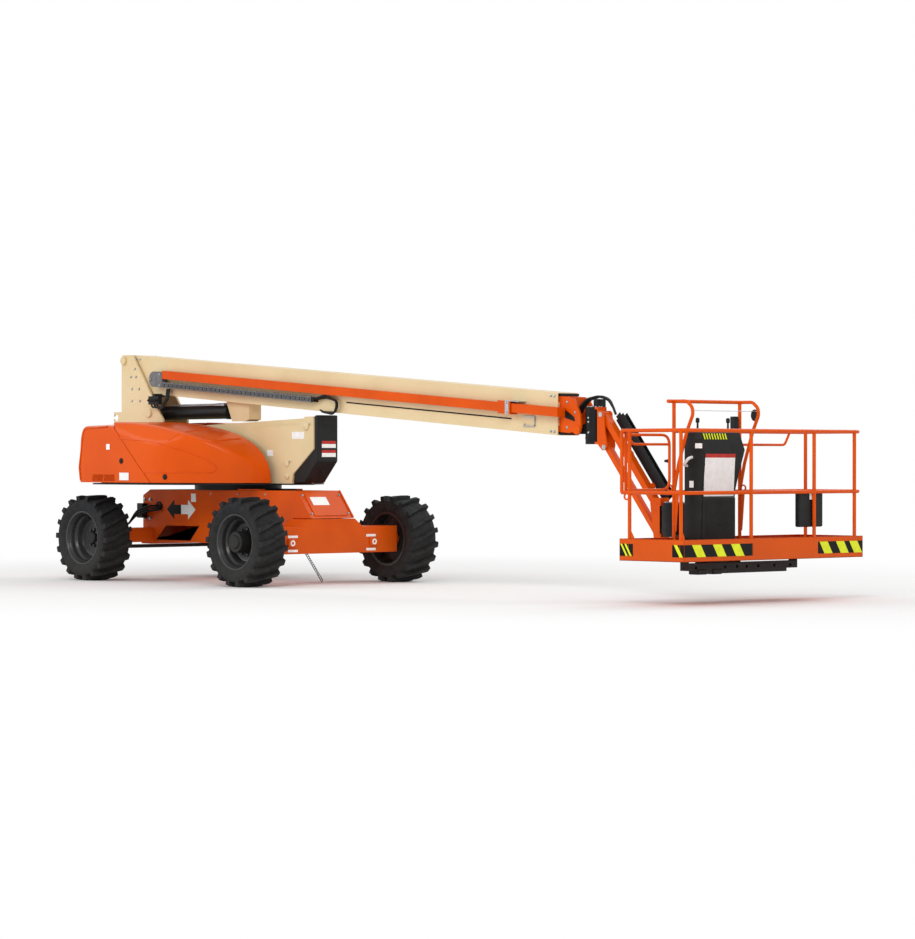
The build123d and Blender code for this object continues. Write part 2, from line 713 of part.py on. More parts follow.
# Jib arm and its parallel link
jib_run = (jib_length * cos(radians(jib_angle)), jib_length * sin(radians(jib_angle)))
jib_top_end = moved(jib_top_pin, jib_run)
jib_low_end = moved(jib_low_pin, jib_run)
for name, start, end, half_h, half_w in (
    ("jib_arm", jib_top_pin, jib_top_end, 30, 38), ("jib_link", jib_low_pin, jib_low_end, 24, 34),
):
    with BuildPart() as arm:
        slab(beam_outline(start, end, half_h, 0.018, 0.982), -half_w, half_w)
        slab(beam_outline(start, end, half_h - 5, 0.04, 0.96), 5 - half_w, half_w - 5, Mode.SUBTRACT)
        for place in (start, end):
            pin(place, half_w, 28)
            pin(place, half_w + 5, 14 + pin_gap, Mode.SUBTRACT)
        if name == "jib_arm":
            slab(beam_outline(start, end, 22, 0.33, 0.42), half_w - 6, half_w)
            slab(((5590, 1400), (5700, 1310), (5660, 1290), (5620, 1290), (5590, 1330)), half_w, half_w + 10)
            stub(jib_cylinder_eye, half_w + 5, jib_cylinder_y - 14, 12)
    arm.part.label = name
    export_step(arm.part, f"parts/{name}.step")

# Platform bracket at the jib's foot
foot_plate = (
    (jib_low_end[0] - 30, jib_low_end[1] - 40), (6119, jib_low_end[1] - 40), (6119, jib_top_end[1] + 60),
    (jib_top_end[0] - 10, jib_top_end[1] + 60), (jib_top_end[0] - 35, jib_top_end[1] + 10),
)
with BuildPart() as platform_bracket:
    pair(foot_plate, yoke_in, yoke_out)
    block(6104, 6130, -84, 84, 605, 865)
    for place in (jib_top_end, jib_low_end):
        pin(place, yoke_out, 14)
    post(rotator_x, 0, 600, 870, rotator_r)
platform_bracket.part.label = "platform_bracket"
export_step(platform_bracket.part, "parts/platform_bracket.step")

# Platform support: clamps on the rotator, back plate, arm and pierced cross beam under the floor
support_wall = 8
beam_rear = 6995
beam_front = 7095
beam_half = 740
beam_low = 268
beam_holes = (-640, -250, -90, 40, 200, 420, 640)
with BuildPart() as platform_support:
    for low, high in ((577, 599.5), (870.5, 893)):
        post(rotator_x, 0, low, high, rotator_r - 10)
        block(rotator_x, 6690, -90, 90, low, high)
    block(6680, 6692, -200, 200, 300, 893)
    block(6680, beam_rear, -70, 70, 300, floor_low)
    block(beam_rear, beam_front, -beam_half, beam_half, beam_low + 30, floor_low)
    block(beam_rear, beam_front, 150 - beam_half, beam_half - 150, beam_low, beam_low + 30)
    block(beam_rear - 1, beam_front + 1, support_wall - beam_half, beam_half - support_wall,
          floor_low - 30, floor_low - support_wall, Mode.SUBTRACT)
    for y in beam_holes:
        bar((beam_rear - 10, y, 325), (beam_front + 10, y, 325), 15, Mode.SUBTRACT)
platform_support.part.label = "platform_support"
export_step(platform_support.part, "parts/platform_support.step")

# Platform: floor, toe boards, rails and the raised guard with its two bent hoops
# posts in plan (x, y)
platform_posts = (
    (platform_back + 95, -platform_half), (platform_front - 35, -platform_half), (platform_front, -318),
    (platform_front, 543), (platform_front, platform_half - 88), (platform_back + 85, platform_half),
)
guard_low = -520
guard_high = 370
guard_top = 1820
hand_rail_z = 1430
# one hoop in side view: distance in from the back rail, height
hoop_path = (
    (0, guard_top), (160, guard_top), (225, 1765), (232, 1700), (160, 1550), (60, 1260), (0, mid_rail_z),
)
sheet = 4
platform_box = (platform_back - 15, platform_front + 15, -platform_half - 15, platform_half + 15)
with BuildPart() as platform:
    block(*platform_box, floor_low, toe_top)
    block(platform_back - 15 + sheet, platform_front + 15 - sheet, sheet - platform_half - 15,
          platform_half + 15 - sheet, floor_low + sheet, toe_top + 1, Mode.SUBTRACT)
    for side in (-1, 1):
        for z in (mid_rail_z, top_rail_z):
            bar((platform_back, side * platform_half, z), (platform_front, side * platform_half, z), rail_r)
    for x, y in platform_posts:
        post(x, y, floor_low + 2, top_rail_z + rail_r + 1, rail_r + 1)
    for y in (guard_low, guard_high):
        post(platform_back, y, floor_low + 2, guard_top + rail_r + 1, rail_r + 1)
        for (low_x, low_z), (high_x, high_z) in zip(hoop_path, hoop_path[1:]):
            bar((platform_back + low_x, y, low_z), (platform_back + high_x, y, high_z), rail_r - 1)
    for z in (mid_rail_z, top_rail_z):
        bar((platform_front, -platform_half, z), (platform_front, platform_half, z), rail_r)
        bar((platform_back, guard_low, z), (platform_back, platform_half, z), rail_r)
    bar((platform_back, guard_high, hand_rail_z), (platform_back, 1000, hand_rail_z), 12)
    bar((platform_back, 1000, hand_rail_z), (platform_back, 1000, top_rail_z), 12)
    bar((platform_back, guard_low - 80, guard_top), (platform_back, guard_high + 10, guard_top), rail_r)
    for low in (gate_low - gate_post_end - 15, gate_top + gate_post_end + 0.3):
        block(platform_back - 11, platform_back + 11, -platform_half, gate_hinge_y + 12, low, low + 14.7)
    block(6770, 7120, platform_half - 110, platform_half - 8, 665, mid_rail_z)
platform.part.label = "platform"
export_step(platform.part, "parts/platform.step")

# Gate in the platform's back side
gate_latch_y = guard_low - 60
with BuildPart() as gate:
    for z in (gate_low, hand_rail_z, gate_top):
        bar((platform_back, gate_hinge_y, z), (platform_back, gate_latch_y, z), 13)
    for y in (gate_hinge_y, gate_latch_y):
        post(platform_back, y, gate_low - gate_post_end, gate_top + gate_post_end, 14)
gate.part.label = "gate"
export_step(gate.part, "parts/gate.step")

# Console: a tapered plastic box inside the back rails
console_side = ((6735, 398), (6935, 398), (6960, 1130), (6980, 1380), (6930, 1540), (6735, 1540))
console_face = ((-405, 300), (20, 300), (40, 1000), (148, 1380), (120, 1600), (-380, 1600), (-405, 1480))
with BuildPart() as console:
    slab(console_side, -500, 500)
    with BuildSketch(Plane(origin=(chassis_x + 6700, 0, 0), x_dir=(0, 1, 0), z_dir=(1, 0, 0))) as face:
        with BuildLine():
            Polyline(*console_face, close=True)
        make_face()
    extrude(face.sketch, amount=400, mode=Mode.INTERSECT)
    block(6920, 6985, -395, 10, 420, 950)
console.part.label = "console"
export_step(console.part, "parts/console.step")
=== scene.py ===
import math

import bmesh
import bpy
import numpy
from mathutils import Matrix, Vector


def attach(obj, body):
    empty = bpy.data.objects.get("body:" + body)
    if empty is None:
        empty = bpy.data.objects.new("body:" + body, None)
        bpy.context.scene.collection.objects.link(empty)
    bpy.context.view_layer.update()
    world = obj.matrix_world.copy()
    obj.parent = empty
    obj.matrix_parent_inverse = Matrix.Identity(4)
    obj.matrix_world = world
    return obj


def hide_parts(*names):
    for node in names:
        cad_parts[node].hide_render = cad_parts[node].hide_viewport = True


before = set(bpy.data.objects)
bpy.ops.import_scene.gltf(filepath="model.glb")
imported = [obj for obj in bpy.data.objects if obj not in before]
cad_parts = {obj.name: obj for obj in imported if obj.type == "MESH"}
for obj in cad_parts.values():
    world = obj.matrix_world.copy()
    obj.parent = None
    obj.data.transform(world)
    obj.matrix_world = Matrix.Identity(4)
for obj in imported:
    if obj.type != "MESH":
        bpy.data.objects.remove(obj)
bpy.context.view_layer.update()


# Camera: a long lens off the platform's corner, 1.3 m above the ground and 34 m away, so that the
# wheels and rails hardly converge. Places are told from the ground point midway between the
# axles, which lies origin_shift along X from the frame's origin.
def linked(name, data):
    """A new object that stands in the scene."""
    item = bpy.data.objects.new(name, data)
    bpy.context.scene.collection.objects.link(item)
    return item


origin_shift = -2.7115
view_azimuth = math.radians(46.703)
view_drop = math.radians(0.163)
picture_height = 939
focal_pixels = 3225.9
lens = bpy.data.cameras.new("camera")
lens.sensor_width = 36.0
lens.lens = lens.sensor_width * focal_pixels / picture_height
lens.clip_end = 300.0
camera = linked("camera", lens)
camera.location = (26.607 + origin_shift, -21.953, 1.286)
camera.rotation_euler = (math.pi / 2 - view_drop, 0.0, view_azimuth)
bpy.context.scene.camera = camera


# Chassis and axle arms: welded plate boxes with their edges ground, sprayed in orange enamel
# and baked. The enamel is a clean even orange, with a faint orange-peel ripple and a tone that
# wanders a little where the spray was thicker.
def srgb(code):
    """Linear colour from an sRGB hex code."""
    values = [int(code[i:i + 2], 16) / 255 for i in (1, 3, 5)]
    return [v / 12.92 if v <= 0.04045 else ((v + 0.055) / 1.055) ** 2.4 for v in values] + [1.0]


def node(tree, kind, links=None, **settings):
    """Add a node, set its sockets or properties by name, and link its sockets from others."""
    made = tree.nodes.new(kind)
    for key, value in settings.items():
        if key in made.inputs:
            made.inputs[key].default_value = value
        else:
            setattr(made, key, value)
    for key, source in (links or {}).items():
        tree.links.new(source, made.inputs[key])
    return made


def finish_of(name, light, dark, patch_mm, rough, grain_mm, relief, shine=0.5, dust=None, metal=0.0):
    """A slot's finish: a colour that wanders between two tones, a fine grain, and dust low down if named."""
    material = bpy.data.materials.new(name)
    material.use_nodes = True
    tree = material.node_tree
    tree.nodes.clear()
    place = node(tree, "ShaderNodeTexCoord").outputs["Object"]
    patches = node(tree, "ShaderNodeTexNoise", {"Vector": place}, Scale=1000 / patch_mm, Detail=3.0)
    tones = node(tree, "ShaderNodeValToRGB", {"Fac": patches.outputs["Fac"]})
    for stop, where, code in zip(tones.color_ramp.elements, (0.35, 0.65), (dark, light)):
        stop.position = where
        stop.color = srgb(code)
    colour = tones.outputs["Color"]
    grain = node(tree, "ShaderNodeTexNoise", {"Vector": place}, Scale=1000 / grain_mm, Detail=2.0)
    if dust:
        height = node(tree, "ShaderNodeSeparateXYZ", {"Vector": place})
        settled = node(tree, "ShaderNodeMapRange", {"Value": height.outputs["Z"]})
        settled.inputs["From Min"].default_value = 0.9
        settled.inputs["From Max"].default_value = 0.1
        settled.inputs["To Max"].default_value = 0.5
        blotch = node(tree, "ShaderNodeMath", {0: settled.outputs["Result"], 1: grain.outputs["Fac"]},
                      operation="MULTIPLY")
        film = node(tree, "ShaderNodeMix", {"Factor": blotch.outputs[0]}, data_type="RGBA")
        tree.links.new(colour, film.inputs[6])
        film.inputs[7].default_value = srgb(dust)
        colour = film.outputs[2]
    polish = node(tree, "ShaderNodeMapRange", {"Value": grain.outputs["Fac"]})
    polish.inputs["To Min"].default_value = rough * 0.85
    polish.inputs["To Max"].default_value = rough * 1.15
    bump = node(tree, "ShaderNodeBump", {"Height": grain.outputs["Fac"]},
                Strength=relief, Distance=grain_mm / 4000)
    surface = node(tree, "ShaderNodeBsdfPrincipled", {
        "Base Color": colour, "Roughness": polish.outputs["Result"], "Normal": bump.outputs["Normal"]},
        **{"Specular IOR Level": shine, "Metallic": metal})
    node(tree, "ShaderNodeOutputMaterial", {"Surface": surface.outputs["BSDF"]})
    return material


def at(x, y, z):
    """A place told from the ground point midway between the axles."""
    return Vector((x + origin_shift, y, z))


def finished(name, mesh, material, body, stands_for=(), ease=0.0, crease=35, other=None):
    """Link a mesh as a piece: its finish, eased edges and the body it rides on."""
    mesh.name = name
    mesh.materials.clear()
    mesh.materials.append(material)
    if other:
        mesh.materials.append(other)
    for face in mesh.polygons:
        face.use_smooth = True
    mesh.set_sharp_from_angle(angle=math.radians(crease))
    piece = linked(name, mesh)
    if ease > 0:
        edges = piece.modifiers.new("eased edges", "BEVEL")
        edges.width = ease
        edges.segments = 2
        edges.limit_method = "ANGLE"
        edges.angle_limit = math.radians(crease)
        edges.harden_normals = True
    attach(piece, body)
    if stands_for:
        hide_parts(*stands_for)
    return piece


def eased_copies(body, material, width, *names, other=None, where=None):
    """Eased copies of nodes, or of the body's own; another finish goes where a face's middle says so."""
    for name in names or (body,):
        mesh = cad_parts[name].data.copy()
        shell = bmesh.new()
        shell.from_mesh(mesh)
        bmesh.ops.remove_doubles(shell, verts=shell.verts, dist=2e-5)
        bmesh.ops.dissolve_limit(shell, angle_limit=math.radians(1), verts=shell.verts, edges=shell.edges)
        for face in shell.faces:
            face.material_index = int(where is not None and where(face.calc_center_median()))
        shell.to_mesh(mesh)
        shell.free()
        marks = [face.material_index for face in mesh.polygons]
        piece = finished(name + "_piece", mesh, material, body, (name,), width, other=other)
        for face, mark in zip(piece.data.polygons, marks):
            face.material_index = mark


def mesh_of(shell):
    """The mesh of an edited shell, which is let go."""
    mesh = bpy.data.meshes.new("mesh")
    shell.to_mesh(mesh)
    shell.free()
    return mesh


def plate(outline, low, high, across="y"):
    """A slab of an outline in (x, z), (x, y) or (y, z), from low to high across it."""
    shell = bmesh.new()
    ends = []
    for level in (low, high):
        places = [{"x": (level, a, b), "y": (a, level, b), "z": (a, b, level)}[across] for a, b in outline]
        ends.append([shell.verts.new(at(*place)) for place in places])
        shell.faces.new(ends[-1])
    for i in range(len(outline)):
        shell.faces.new((ends[0][i - 1], ends[0][i], ends[1][i], ends[1][i - 1]))
    bmesh.ops.recalc_face_normals(shell, faces=shell.faces)
    return mesh_of(shell)


def box(x_low, x_high, y_low, y_high, z_low, z_high):
    """A block given by its faces."""
    return plate(((x_low, z_low), (x_high, z_low), (x_high, z_high), (x_low, z_high)), y_low, y_high)


def joined(meshes):
    """Several meshes as one."""
    shell = bmesh.new()
    for mesh in meshes:
        shell.from_mesh(mesh)
        bpy.data.meshes.remove(mesh)
    return mesh_of(shell)


orange_enamel = finish_of("orange_enamel", "#E25600", "#D64E00", 420, 0.34, 9, 0.05, 0.12,
                          "#A8663C")
eased_copies("chassis", orange_enamel, 0.005, "chassis_frame", "drive_axle", "steer_axle")

# Lid over the drive axle: a raised panel pressed out of the sloping plate, held by two rows of
# cap screws, with a stiffening rib each side.
lid_slope = ((1.21, 0.946), (1.40, 0.71), (1.408, 0.716), (1.218, 0.952))
finished("lid_panel", plate(lid_slope, -0.22, 0.22), orange_enamel, "chassis", ease=0.003)
rib = ((1.195, 0.965), (1.415, 0.69), (1.424, 0.70), (1.204, 0.975))
finished("lid_ribs", joined([plate(rib, -0.297, -0.283), plate(rib, 0.283, 0.297)]), orange_enamel,
         "chassis", ease=0.001)

# Pad strips welded on the chassis beside the slew ring.
strips = joined([box(-0.05, 0.60, *sorted((side * 0.22, side * 0.299)), 0.968, 0.985) for side in (-1, 1)])
finished("chassis_pad_strips", strips, orange_enamel, "chassis", ease=0.003)


# Screws: zinc-plated hexagon heads, set in rows, rings or at single places. Zinc is a pale dull
# silver metal with a soft mottling.
def repeat_tree(name, turning):
    """Copies of the modified mesh in a row, or turned about an axis through the origin."""
    tree = bpy.data.node_groups.new(name, "GeometryNodeTree")
    for label, kind in (("Geometry", "NodeSocketGeometry"), ("Count", "NodeSocketInt"),
                        ("Step", "NodeSocketVector"), ("Pitch", "NodeSocketFloat"),
                        ("Finish", "NodeSocketMaterial")):
        tree.interface.new_socket(name=label, in_out="INPUT", socket_type=kind)
    tree.interface.new_socket(name="Geometry", in_out="OUTPUT", socket_type="NodeSocketGeometry")
    given = node(tree, "NodeGroupInput").outputs
    if turning:
        places = node(tree, "GeometryNodeMeshLine", {"Count": given["Count"]}, mode="OFFSET")
        places.inputs["Offset"].default_value = (0.0, 0.0, 0.0)
        index = node(tree, "GeometryNodeInputIndex")
        turned = node(tree, "ShaderNodeMath", {0: index.outputs[0], 1: given["Pitch"]}, operation="MULTIPLY")
        spin = node(tree, "FunctionNodeAxisAngleToRotation",
                    {"Axis": given["Step"], "Angle": turned.outputs[0]})
        copies = node(tree, "GeometryNodeInstanceOnPoints", {
            "Points": places.outputs["Mesh"], "Instance": given["Geometry"], "Rotation": spin.outputs[0]})
    else:
        places = node(tree, "GeometryNodeMeshLine", {"Count": given["Count"], "Offset": given["Step"]},
                      mode="OFFSET")
        copies = node(tree, "GeometryNodeInstanceOnPoints", {
            "Points": places.outputs["Mesh"], "Instance": given["Geometry"]})
    real = node(tree, "GeometryNodeRealizeInstances", {"Geometry": copies.outputs["Instances"]})
    coated = node(tree, "GeometryNodeSetMaterial", {"Geometry": real.outputs["Geometry"],
                                                    "Material": given["Finish"]})
    node(tree, "NodeGroupOutput", {"Geometry": coated.outputs["Geometry"]})
    return tree


row_of = repeat_tree("row of copies", False)
ring_of = repeat_tree("ring of copies", True)


def final_mesh(item):
    """The mesh of an object with its modifiers or bevel worked out. The object is let go."""
    made = bpy.data.meshes.new_from_object(item.evaluated_get(bpy.context.evaluated_depsgraph_get()))
    bpy.data.objects.remove(item)
    return made


def repeated(tree, mesh, count, step, finish, pitch=0.0):
    """The mesh repeated by one of the two trees, as a plain mesh."""
    holder = linked("repeated", mesh)
    steps = holder.modifiers.new("repeat", "NODES")
    steps.node_group = tree
    values = {"Count": count, "Step": step, "Pitch": pitch, "Finish": finish}
    for item in tree.interface.items_tree:
        if item.in_out == "INPUT" and item.name in values:
            steps[item.identifier] = values[item.name]
    holder.update_tag()
    return final_mesh(holder)


def lathe(section, axis="y", steps=48, closed=False):
    """A turned shape about an axis through the origin, from (place along it, radius) points."""
    shell = bmesh.new()
    rings = []
    for i in range(steps):
        turn = 2 * math.pi * i / steps
        c, s = math.cos(turn), math.sin(turn)
        places = {"x": [(a, r * c, r * s) for a, r in section], "y": [(r * c, a, r * s) for a, r in section],
                  "z": [(r * c, r * s, a) for a, r in section]}[axis]
        rings.append([shell.verts.new(place) for place in places])
    count = len(section)
    for i in range(steps):
        for j in range(0 if closed else 1, count):
            shell.faces.new((rings[i - 1][j - 1], rings[i - 1][j], rings[i][j], rings[i][j - 1]))
    bmesh.ops.remove_doubles(shell, verts=shell.verts, dist=1e-5)
    bmesh.ops.recalc_face_normals(shell, faces=shell.faces)
    return mesh_of(shell)


def hoop(low, high, inner, outer, axis="y", steps=48):
    """A flat band turned about an axis through the origin."""
    return lathe([(low, inner), (low, outer), (high, outer), (high, inner)], axis, steps, True)


def round_cap(side, levels, radius, face, axis="y", steps=32):
    """A round cap turned from its seat, shoulder and face, whose edge is bevelled down to the face."""
    seat, shoulder, top = [side * level for level in levels]
    return lathe([(seat, 0.0), (seat, radius), (shoulder, radius), (top, face), (top, 0.0)], axis, steps)


def moved(mesh, place, turn=None):
    """A mesh turned and then set down at a place."""
    mesh.transform(Matrix.Translation(place) @ (turn or Matrix.Identity(4)))
    return mesh


def hex_head(size, high, axis):
    """A hexagon screw head with its washer, its seat at the origin."""
    washer = [(-0.002, 0.0), (-0.002, size * 0.68), (high * 0.25, size * 0.68)]
    head = [(high * 0.25, size * 0.56), (high * 0.9, size * 0.56), (high, size * 0.46), (high, 0.0)]
    return joined([lathe(washer + [(high * 0.25, 0.0)], axis, 18), lathe([(0.0, 0.0)] + head, axis, 6)])


zinc = finish_of("zinc_plated_steel", "#B9BCBF", "#9EA2A6", 40, 0.38, 1.5, 0.1, metal=0.85)


def faced_out(mesh):
    """The mesh with all its faces turned outward."""
    shell = bmesh.new()
    shell.from_mesh(mesh)
    bmesh.ops.recalc_face_normals(shell, faces=shell.faces)
    return mesh_of(shell)


def screws(name, body, places, size=0.024, axis="y", facing=-1):
    """Screw heads at places (x, y, z), facing one way along an axis."""
    heads = [moved(hex_head(size, size * 0.55 * facing, axis), at(*place)) for place in places]
    return finished(name, faced_out(joined(heads)), zinc, body)


lid_screws = [(1.215 + 0.19 * f, y, 0.948 - 0.236 * f) for f in (0.1, 0.9) for y in (-0.25, 0.25)]
screws("lid_screws", "chassis", lid_screws, 0.02, "x", 1)
screws("steer_plate_screws", "chassis", [(x, -0.3, z) for x in (-1.35, -1.245) for z in (0.66, 0.86)], 0.03)
screws("lid_side_screws", "chassis", [(x, -0.3, 0.93) for x in (-0.2, 0.25, 0.7)], 0.018)


# Blank labels and stripes: printed vinyl, pressed flat on the paint. Vinyl is smooth and a touch
# glossier than paint, and its ink is even, with a slight scuff.
def vinyl(name, light, dark, patch_mm=60, rough=0.3, shine=0.3):
    """Printed vinyl in one ink."""
    return finish_of(name, light, dark, patch_mm, rough, 3, 0.02, shine)


white_vinyl = vinyl("white_vinyl", "#FBFBFA", "#F1F1EE")
black_vinyl = vinyl("black_vinyl", "#101010", "#151515", shine=0.12)
yellow_vinyl = vinyl("yellow_vinyl", "#E9F216", "#DCE40C")
red_vinyl = vinyl("red_vinyl", "#C62A1E", "#B5221A")
film = 0.0015


def stickers(name, body, material, shapes, across, level, facing=-1):
    """Thin flat shapes on one face, which lies at a level across an axis."""
    meshes = [plate(shape, level, level + facing * film, across) for shape in shapes]
    return finished(name, joined(meshes), material, body)


def block_shape(a_low, a_high, b_low, b_high):
    """The four corners of an upright oblong."""
    return ((a_low, b_low), (a_high, b_low), (a_high, b_high), (a_low, b_high))


arrow_z = 0.757
arrow_mid = -0.711
arrow_black = ((-0.957, arrow_z), (-0.83, arrow_z + 0.105), (-0.83, arrow_z + 0.05),
               (arrow_mid, arrow_z + 0.05), (arrow_mid, arrow_z - 0.05), (-0.83, arrow_z - 0.05),
               (-0.83, arrow_z - 0.105))
arrow_white = [(2 * arrow_mid - x, z) for x, z in arrow_black]
both_sides = (("right", -1), ("left", 1))
for name, side in both_sides:
    level = side * 0.3
    stickers("arrow_tail_" + name, "chassis", black_vinyl, (arrow_black,), "y", level, side)
    stickers("arrow_head_" + name, "chassis", white_vinyl, (arrow_white,), "y", level, side)
    stickers("chassis_labels_" + name, "chassis", white_vinyl,
             (block_shape(-0.54, -0.46, 0.84, 0.93), block_shape(0.36, 0.42, 0.80, 0.86)), "y", level, side)
for name, side in both_sides:
    low, high = sorted((side * 0.47, side * 0.60))
    stickers("axle_labels_" + name, "chassis", white_vinyl,
             (block_shape(low, high, 0.49, 0.515), block_shape(low, high, 0.345, 0.37)), "x", 1.42, 1)
lid_label = ((1.256, 0.9048), (1.3225, 0.8222), (1.3237, 0.8231), (1.2572, 0.9057))
finished("lid_label", plate(lid_label, -0.17, 0.05), white_vinyl, "chassis")


# Axle ends: black sprayed castings. Satin black is an even, slightly brown black with a soft
# sheen, greyer where dust has settled low down.
black_satin = finish_of("black_satin_paint", "#1B1C1D", "#141516", 160, 0.42, 5, 0.08, 0.18,
                        "#4C4742")
eased_copies("knuckle_left", black_satin, 0.003)
eased_copies("knuckle_right", black_satin, 0.003)
eased_copies("tie_rod", black_satin, 0.002)
eased_copies("chassis", black_satin, 0.003, "slew_ring")
ears = [block_shape(side * 0.56 - 0.05, side * 0.56 + 0.05, 0.395, 0.48) for side in (-1, 1)]
finished("tie_down_ears", joined([plate(ear, 1.42, 1.446, "x") for ear in ears]), orange_enamel,
         "chassis", ease=0.006)
rings = [moved(hoop(0.0, 0.006, 0.016, 0.03, "x", 32), at(1.446, side * 0.56, 0.437)) for side in (-1, 1)]
finished("tie_down_rings", joined(rings), white_vinyl, "chassis")


# Steering hoses: black rubber with a matt cover, held by a clamp and led through two grommets.
def tube(points, radius, bend=0.0, sides=16):
    """A round bar along straight runs, bent round each corner, with flat ends."""
    line = [Vector(points[0])]
    for before, corner, after in zip(points, points[1:], points[2:]):
        before, corner, after = Vector(before), Vector(corner), Vector(after)
        back, ahead = (before - corner), (after - corner)
        turn = math.pi - back.angle(ahead)
        cut = min(bend * math.tan(turn / 2), 0.45 * back.length, 0.45 * ahead.length)
        if cut < 1e-4 or turn < 0.02:
            line.append(corner)
            continue
        start, end = corner + back.normalized() * cut, corner + ahead.normalized() * cut
        for i in range(7):
            share = i / 6
            line.append(start * (1 - share) ** 2 + corner * 2 * share * (1 - share) + end * share ** 2)
    line.append(Vector(points[-1]))
    curve = bpy.data.curves.new("tube", "CURVE")
    curve.dimensions = "3D"
    curve.bevel_depth = radius
    curve.bevel_resolution = sides // 4 - 1
    curve.use_fill_caps = True
    spline = curve.splines.new("POLY")
    spline.points.add(len(line) - 1)
    for point, place in zip(spline.points, line):
        point.co = (*place, 1.0)
    return final_mesh(linked("tube", curve))


def run(*places):
    """Places (x, y, z) told from the ground point midway between the axles."""
    return [at(*place) for place in places]


hose_rubber = finish_of("hose_rubber", "#1B1C1D", "#151617", 40, 0.55, 1.5, 0.3, 0.2)
steer_hoses = [tube(run((-1.03, -0.295 - 0.01 * i, 0.80 - 0.022 * i),
                        (-1.2, -0.36 - 0.01 * i, 0.79 - 0.03 * i),
                        (-1.36, -0.40 - 0.012 * i, 0.74 - 0.03 * i), (-1.37, -0.5, 0.60),
                        (-1.33, -0.68, 0.54)), 0.011, 0.08) for i in range(3)]
finished("steer_hoses", joined(steer_hoses), hose_rubber, "chassis")
finished("steer_hose_clamp", box(-1.40, -1.30, -0.37, -0.30, 0.66, 0.82), black_satin, "chassis", ease=0.006)
grommets = [moved(hoop(-0.012, 0.004, 0.03, 0.046, "y", 32), at(-1.09, y, 0.795)) for y in (-0.30, 0.30)]
finished("hose_grommets", joined(grommets), hose_rubber, "chassis")

# Static strap under the drive axle: flat links hung from a screw, just clear of the ground.
strap_link = hoop(-0.002, 0.002, 0.011, 0.018, "y", 12)
strap = repeated(row_of, moved(strap_link, at(1.30, -0.27, 0.345)), 15, (0.0, 0.0163, -0.0215), black_satin)
finished("static_strap", strap, black_satin, "chassis")


# Tyres: black rubber, moulded with a smooth rounded carcass, a ring on each sidewall and two
# staggered rows of hooked lugs. New rubber is a soft dark grey, nearly matt, paler with dust on
# the lugs. They hold the CAD tyre's width and lug tips.
tyre_rubber = finish_of("tyre_rubber", "#27282A", "#1C1D1F", 60, 0.7, 3, 0.3, 0.15, "#47433E")
wheelbase = 2.57
tyre_radius = 0.457
lug_root = 0.398
lug_shoulder = 0.4535
lug_middle = 0.09
lug_side = 0.1765
lug_count = 18
lug_plan = ((0.174, -0.050), (0.1745, -0.022), (0.174, 0.006), (0.130, 0.014), (0.084, 0.024),
            (0.045, 0.037), (0.006, 0.050), (-0.006, 0.024), (0.04, 0.004), (0.086, -0.014), (0.13, -0.032))
tyre_half = [(0.0, 0.414), (0.09, 0.4135), (0.13, 0.412), (0.155, 0.408), (0.167, 0.403), (0.1705, 0.402),
             (0.1745, 0.4015), (0.1745, 0.3965), (0.1715, 0.396), (0.1765, 0.378), (0.1765, 0.352),
             (0.1725, 0.33), (0.171, 0.327), (0.171, 0.322), (0.166, 0.312), (0.161, 0.298), (0.156, 0.2895),
             (0.14, 0.2885)]
tyre_section = tyre_half + [(-a, r) for a, r in reversed(tyre_half[1:])]


def lug(row):
    """One hooked lug at the top of the tyre, wrapped round the carcass, with sloping flanks."""
    shell = bmesh.new()
    levels = []
    for depth, grow in ((lug_root, 1.10), (lug_shoulder, 1.0), (tyre_radius, 0.96)):
        ring = []
        for across, forward in lug_plan:
            spread = min(lug_middle + (across - lug_middle) * grow, lug_side)
            turn = row * forward * grow / tyre_radius
            radius = depth - (0.006 if across > 0.15 and depth > lug_root else 0.0)
            ring.append(shell.verts.new((radius * math.sin(turn), row * spread, radius * math.cos(turn))))
        levels.append(ring)
    for low, high in zip(levels, levels[1:]):
        for i in range(len(low)):
            shell.faces.new((low[i - 1], low[i], high[i], high[i - 1]))
    shell.faces.new(levels[0])
    shell.faces.new(levels[-1])
    bmesh.ops.recalc_face_normals(shell, faces=shell.faces)
    bmesh.ops.triangulate(shell, faces=[f for f in shell.faces if len(f.verts) > 4])
    return mesh_of(shell)


pitch = 2 * math.pi / lug_count
rows = []
for row, ahead in ((1, 0.0), (-1, pitch / 2)):
    first = moved(lug(row), Vector(), Matrix.Rotation(ahead, 4, "Y"))
    rows.append(repeated(ring_of, first, lug_count, (0.0, 1.0, 0.0), tyre_rubber, pitch))
tyre_mesh = joined([lathe(tyre_section, "y", 96, True)] + rows)

# Rims: pressed steel, grey sprayed, a flanged barrel that steps in to a deep dish, with wheel
# nuts round the hub. The paint is a dull grey, set darker than its own grey as painted shade inside the deep
# dish, with brake dust in the corners.
# The rim's grey is darkened beyond the paint's own colour: painted shade of the deep dish.
rim_grey_with_painted_shade = finish_of("rim_paint_dark_with_painted_shade", "#2A2B2D", "#202123", 110, 0.28, 4, 0.06, 0.4, "#4C4742")
rim_width = 0.356
wheel_out = 1.215
nut_count = 9
rim_section = [(0.020, 0.2875), (0.020, 0.262), (0.034, 0.256), (0.150, 0.256), (0.155, 0.240), (0.155, 0.0),
               (0.169, 0.0), (0.169, 0.180), (0.174, 0.198), (0.190, 0.208), (0.225, 0.214), (0.240, 0.222),
               (0.258, 0.240), (0.292, 0.246), (0.306, 0.254), (0.318, 0.262), (0.330, 0.266),
               (0.336, 0.272), (0.336, 0.2875)]
drive_hub = [(0.165, 0.0), (0.165, 0.150), (0.178, 0.150), (0.182, 0.146), (0.182, 0.120), (0.190, 0.112),
             (0.300, 0.108), (0.326, 0.104), (0.330, 0.098), (0.330, 0.070), (0.336, 0.066), (0.345, 0.062),
             (0.345, 0.0)]
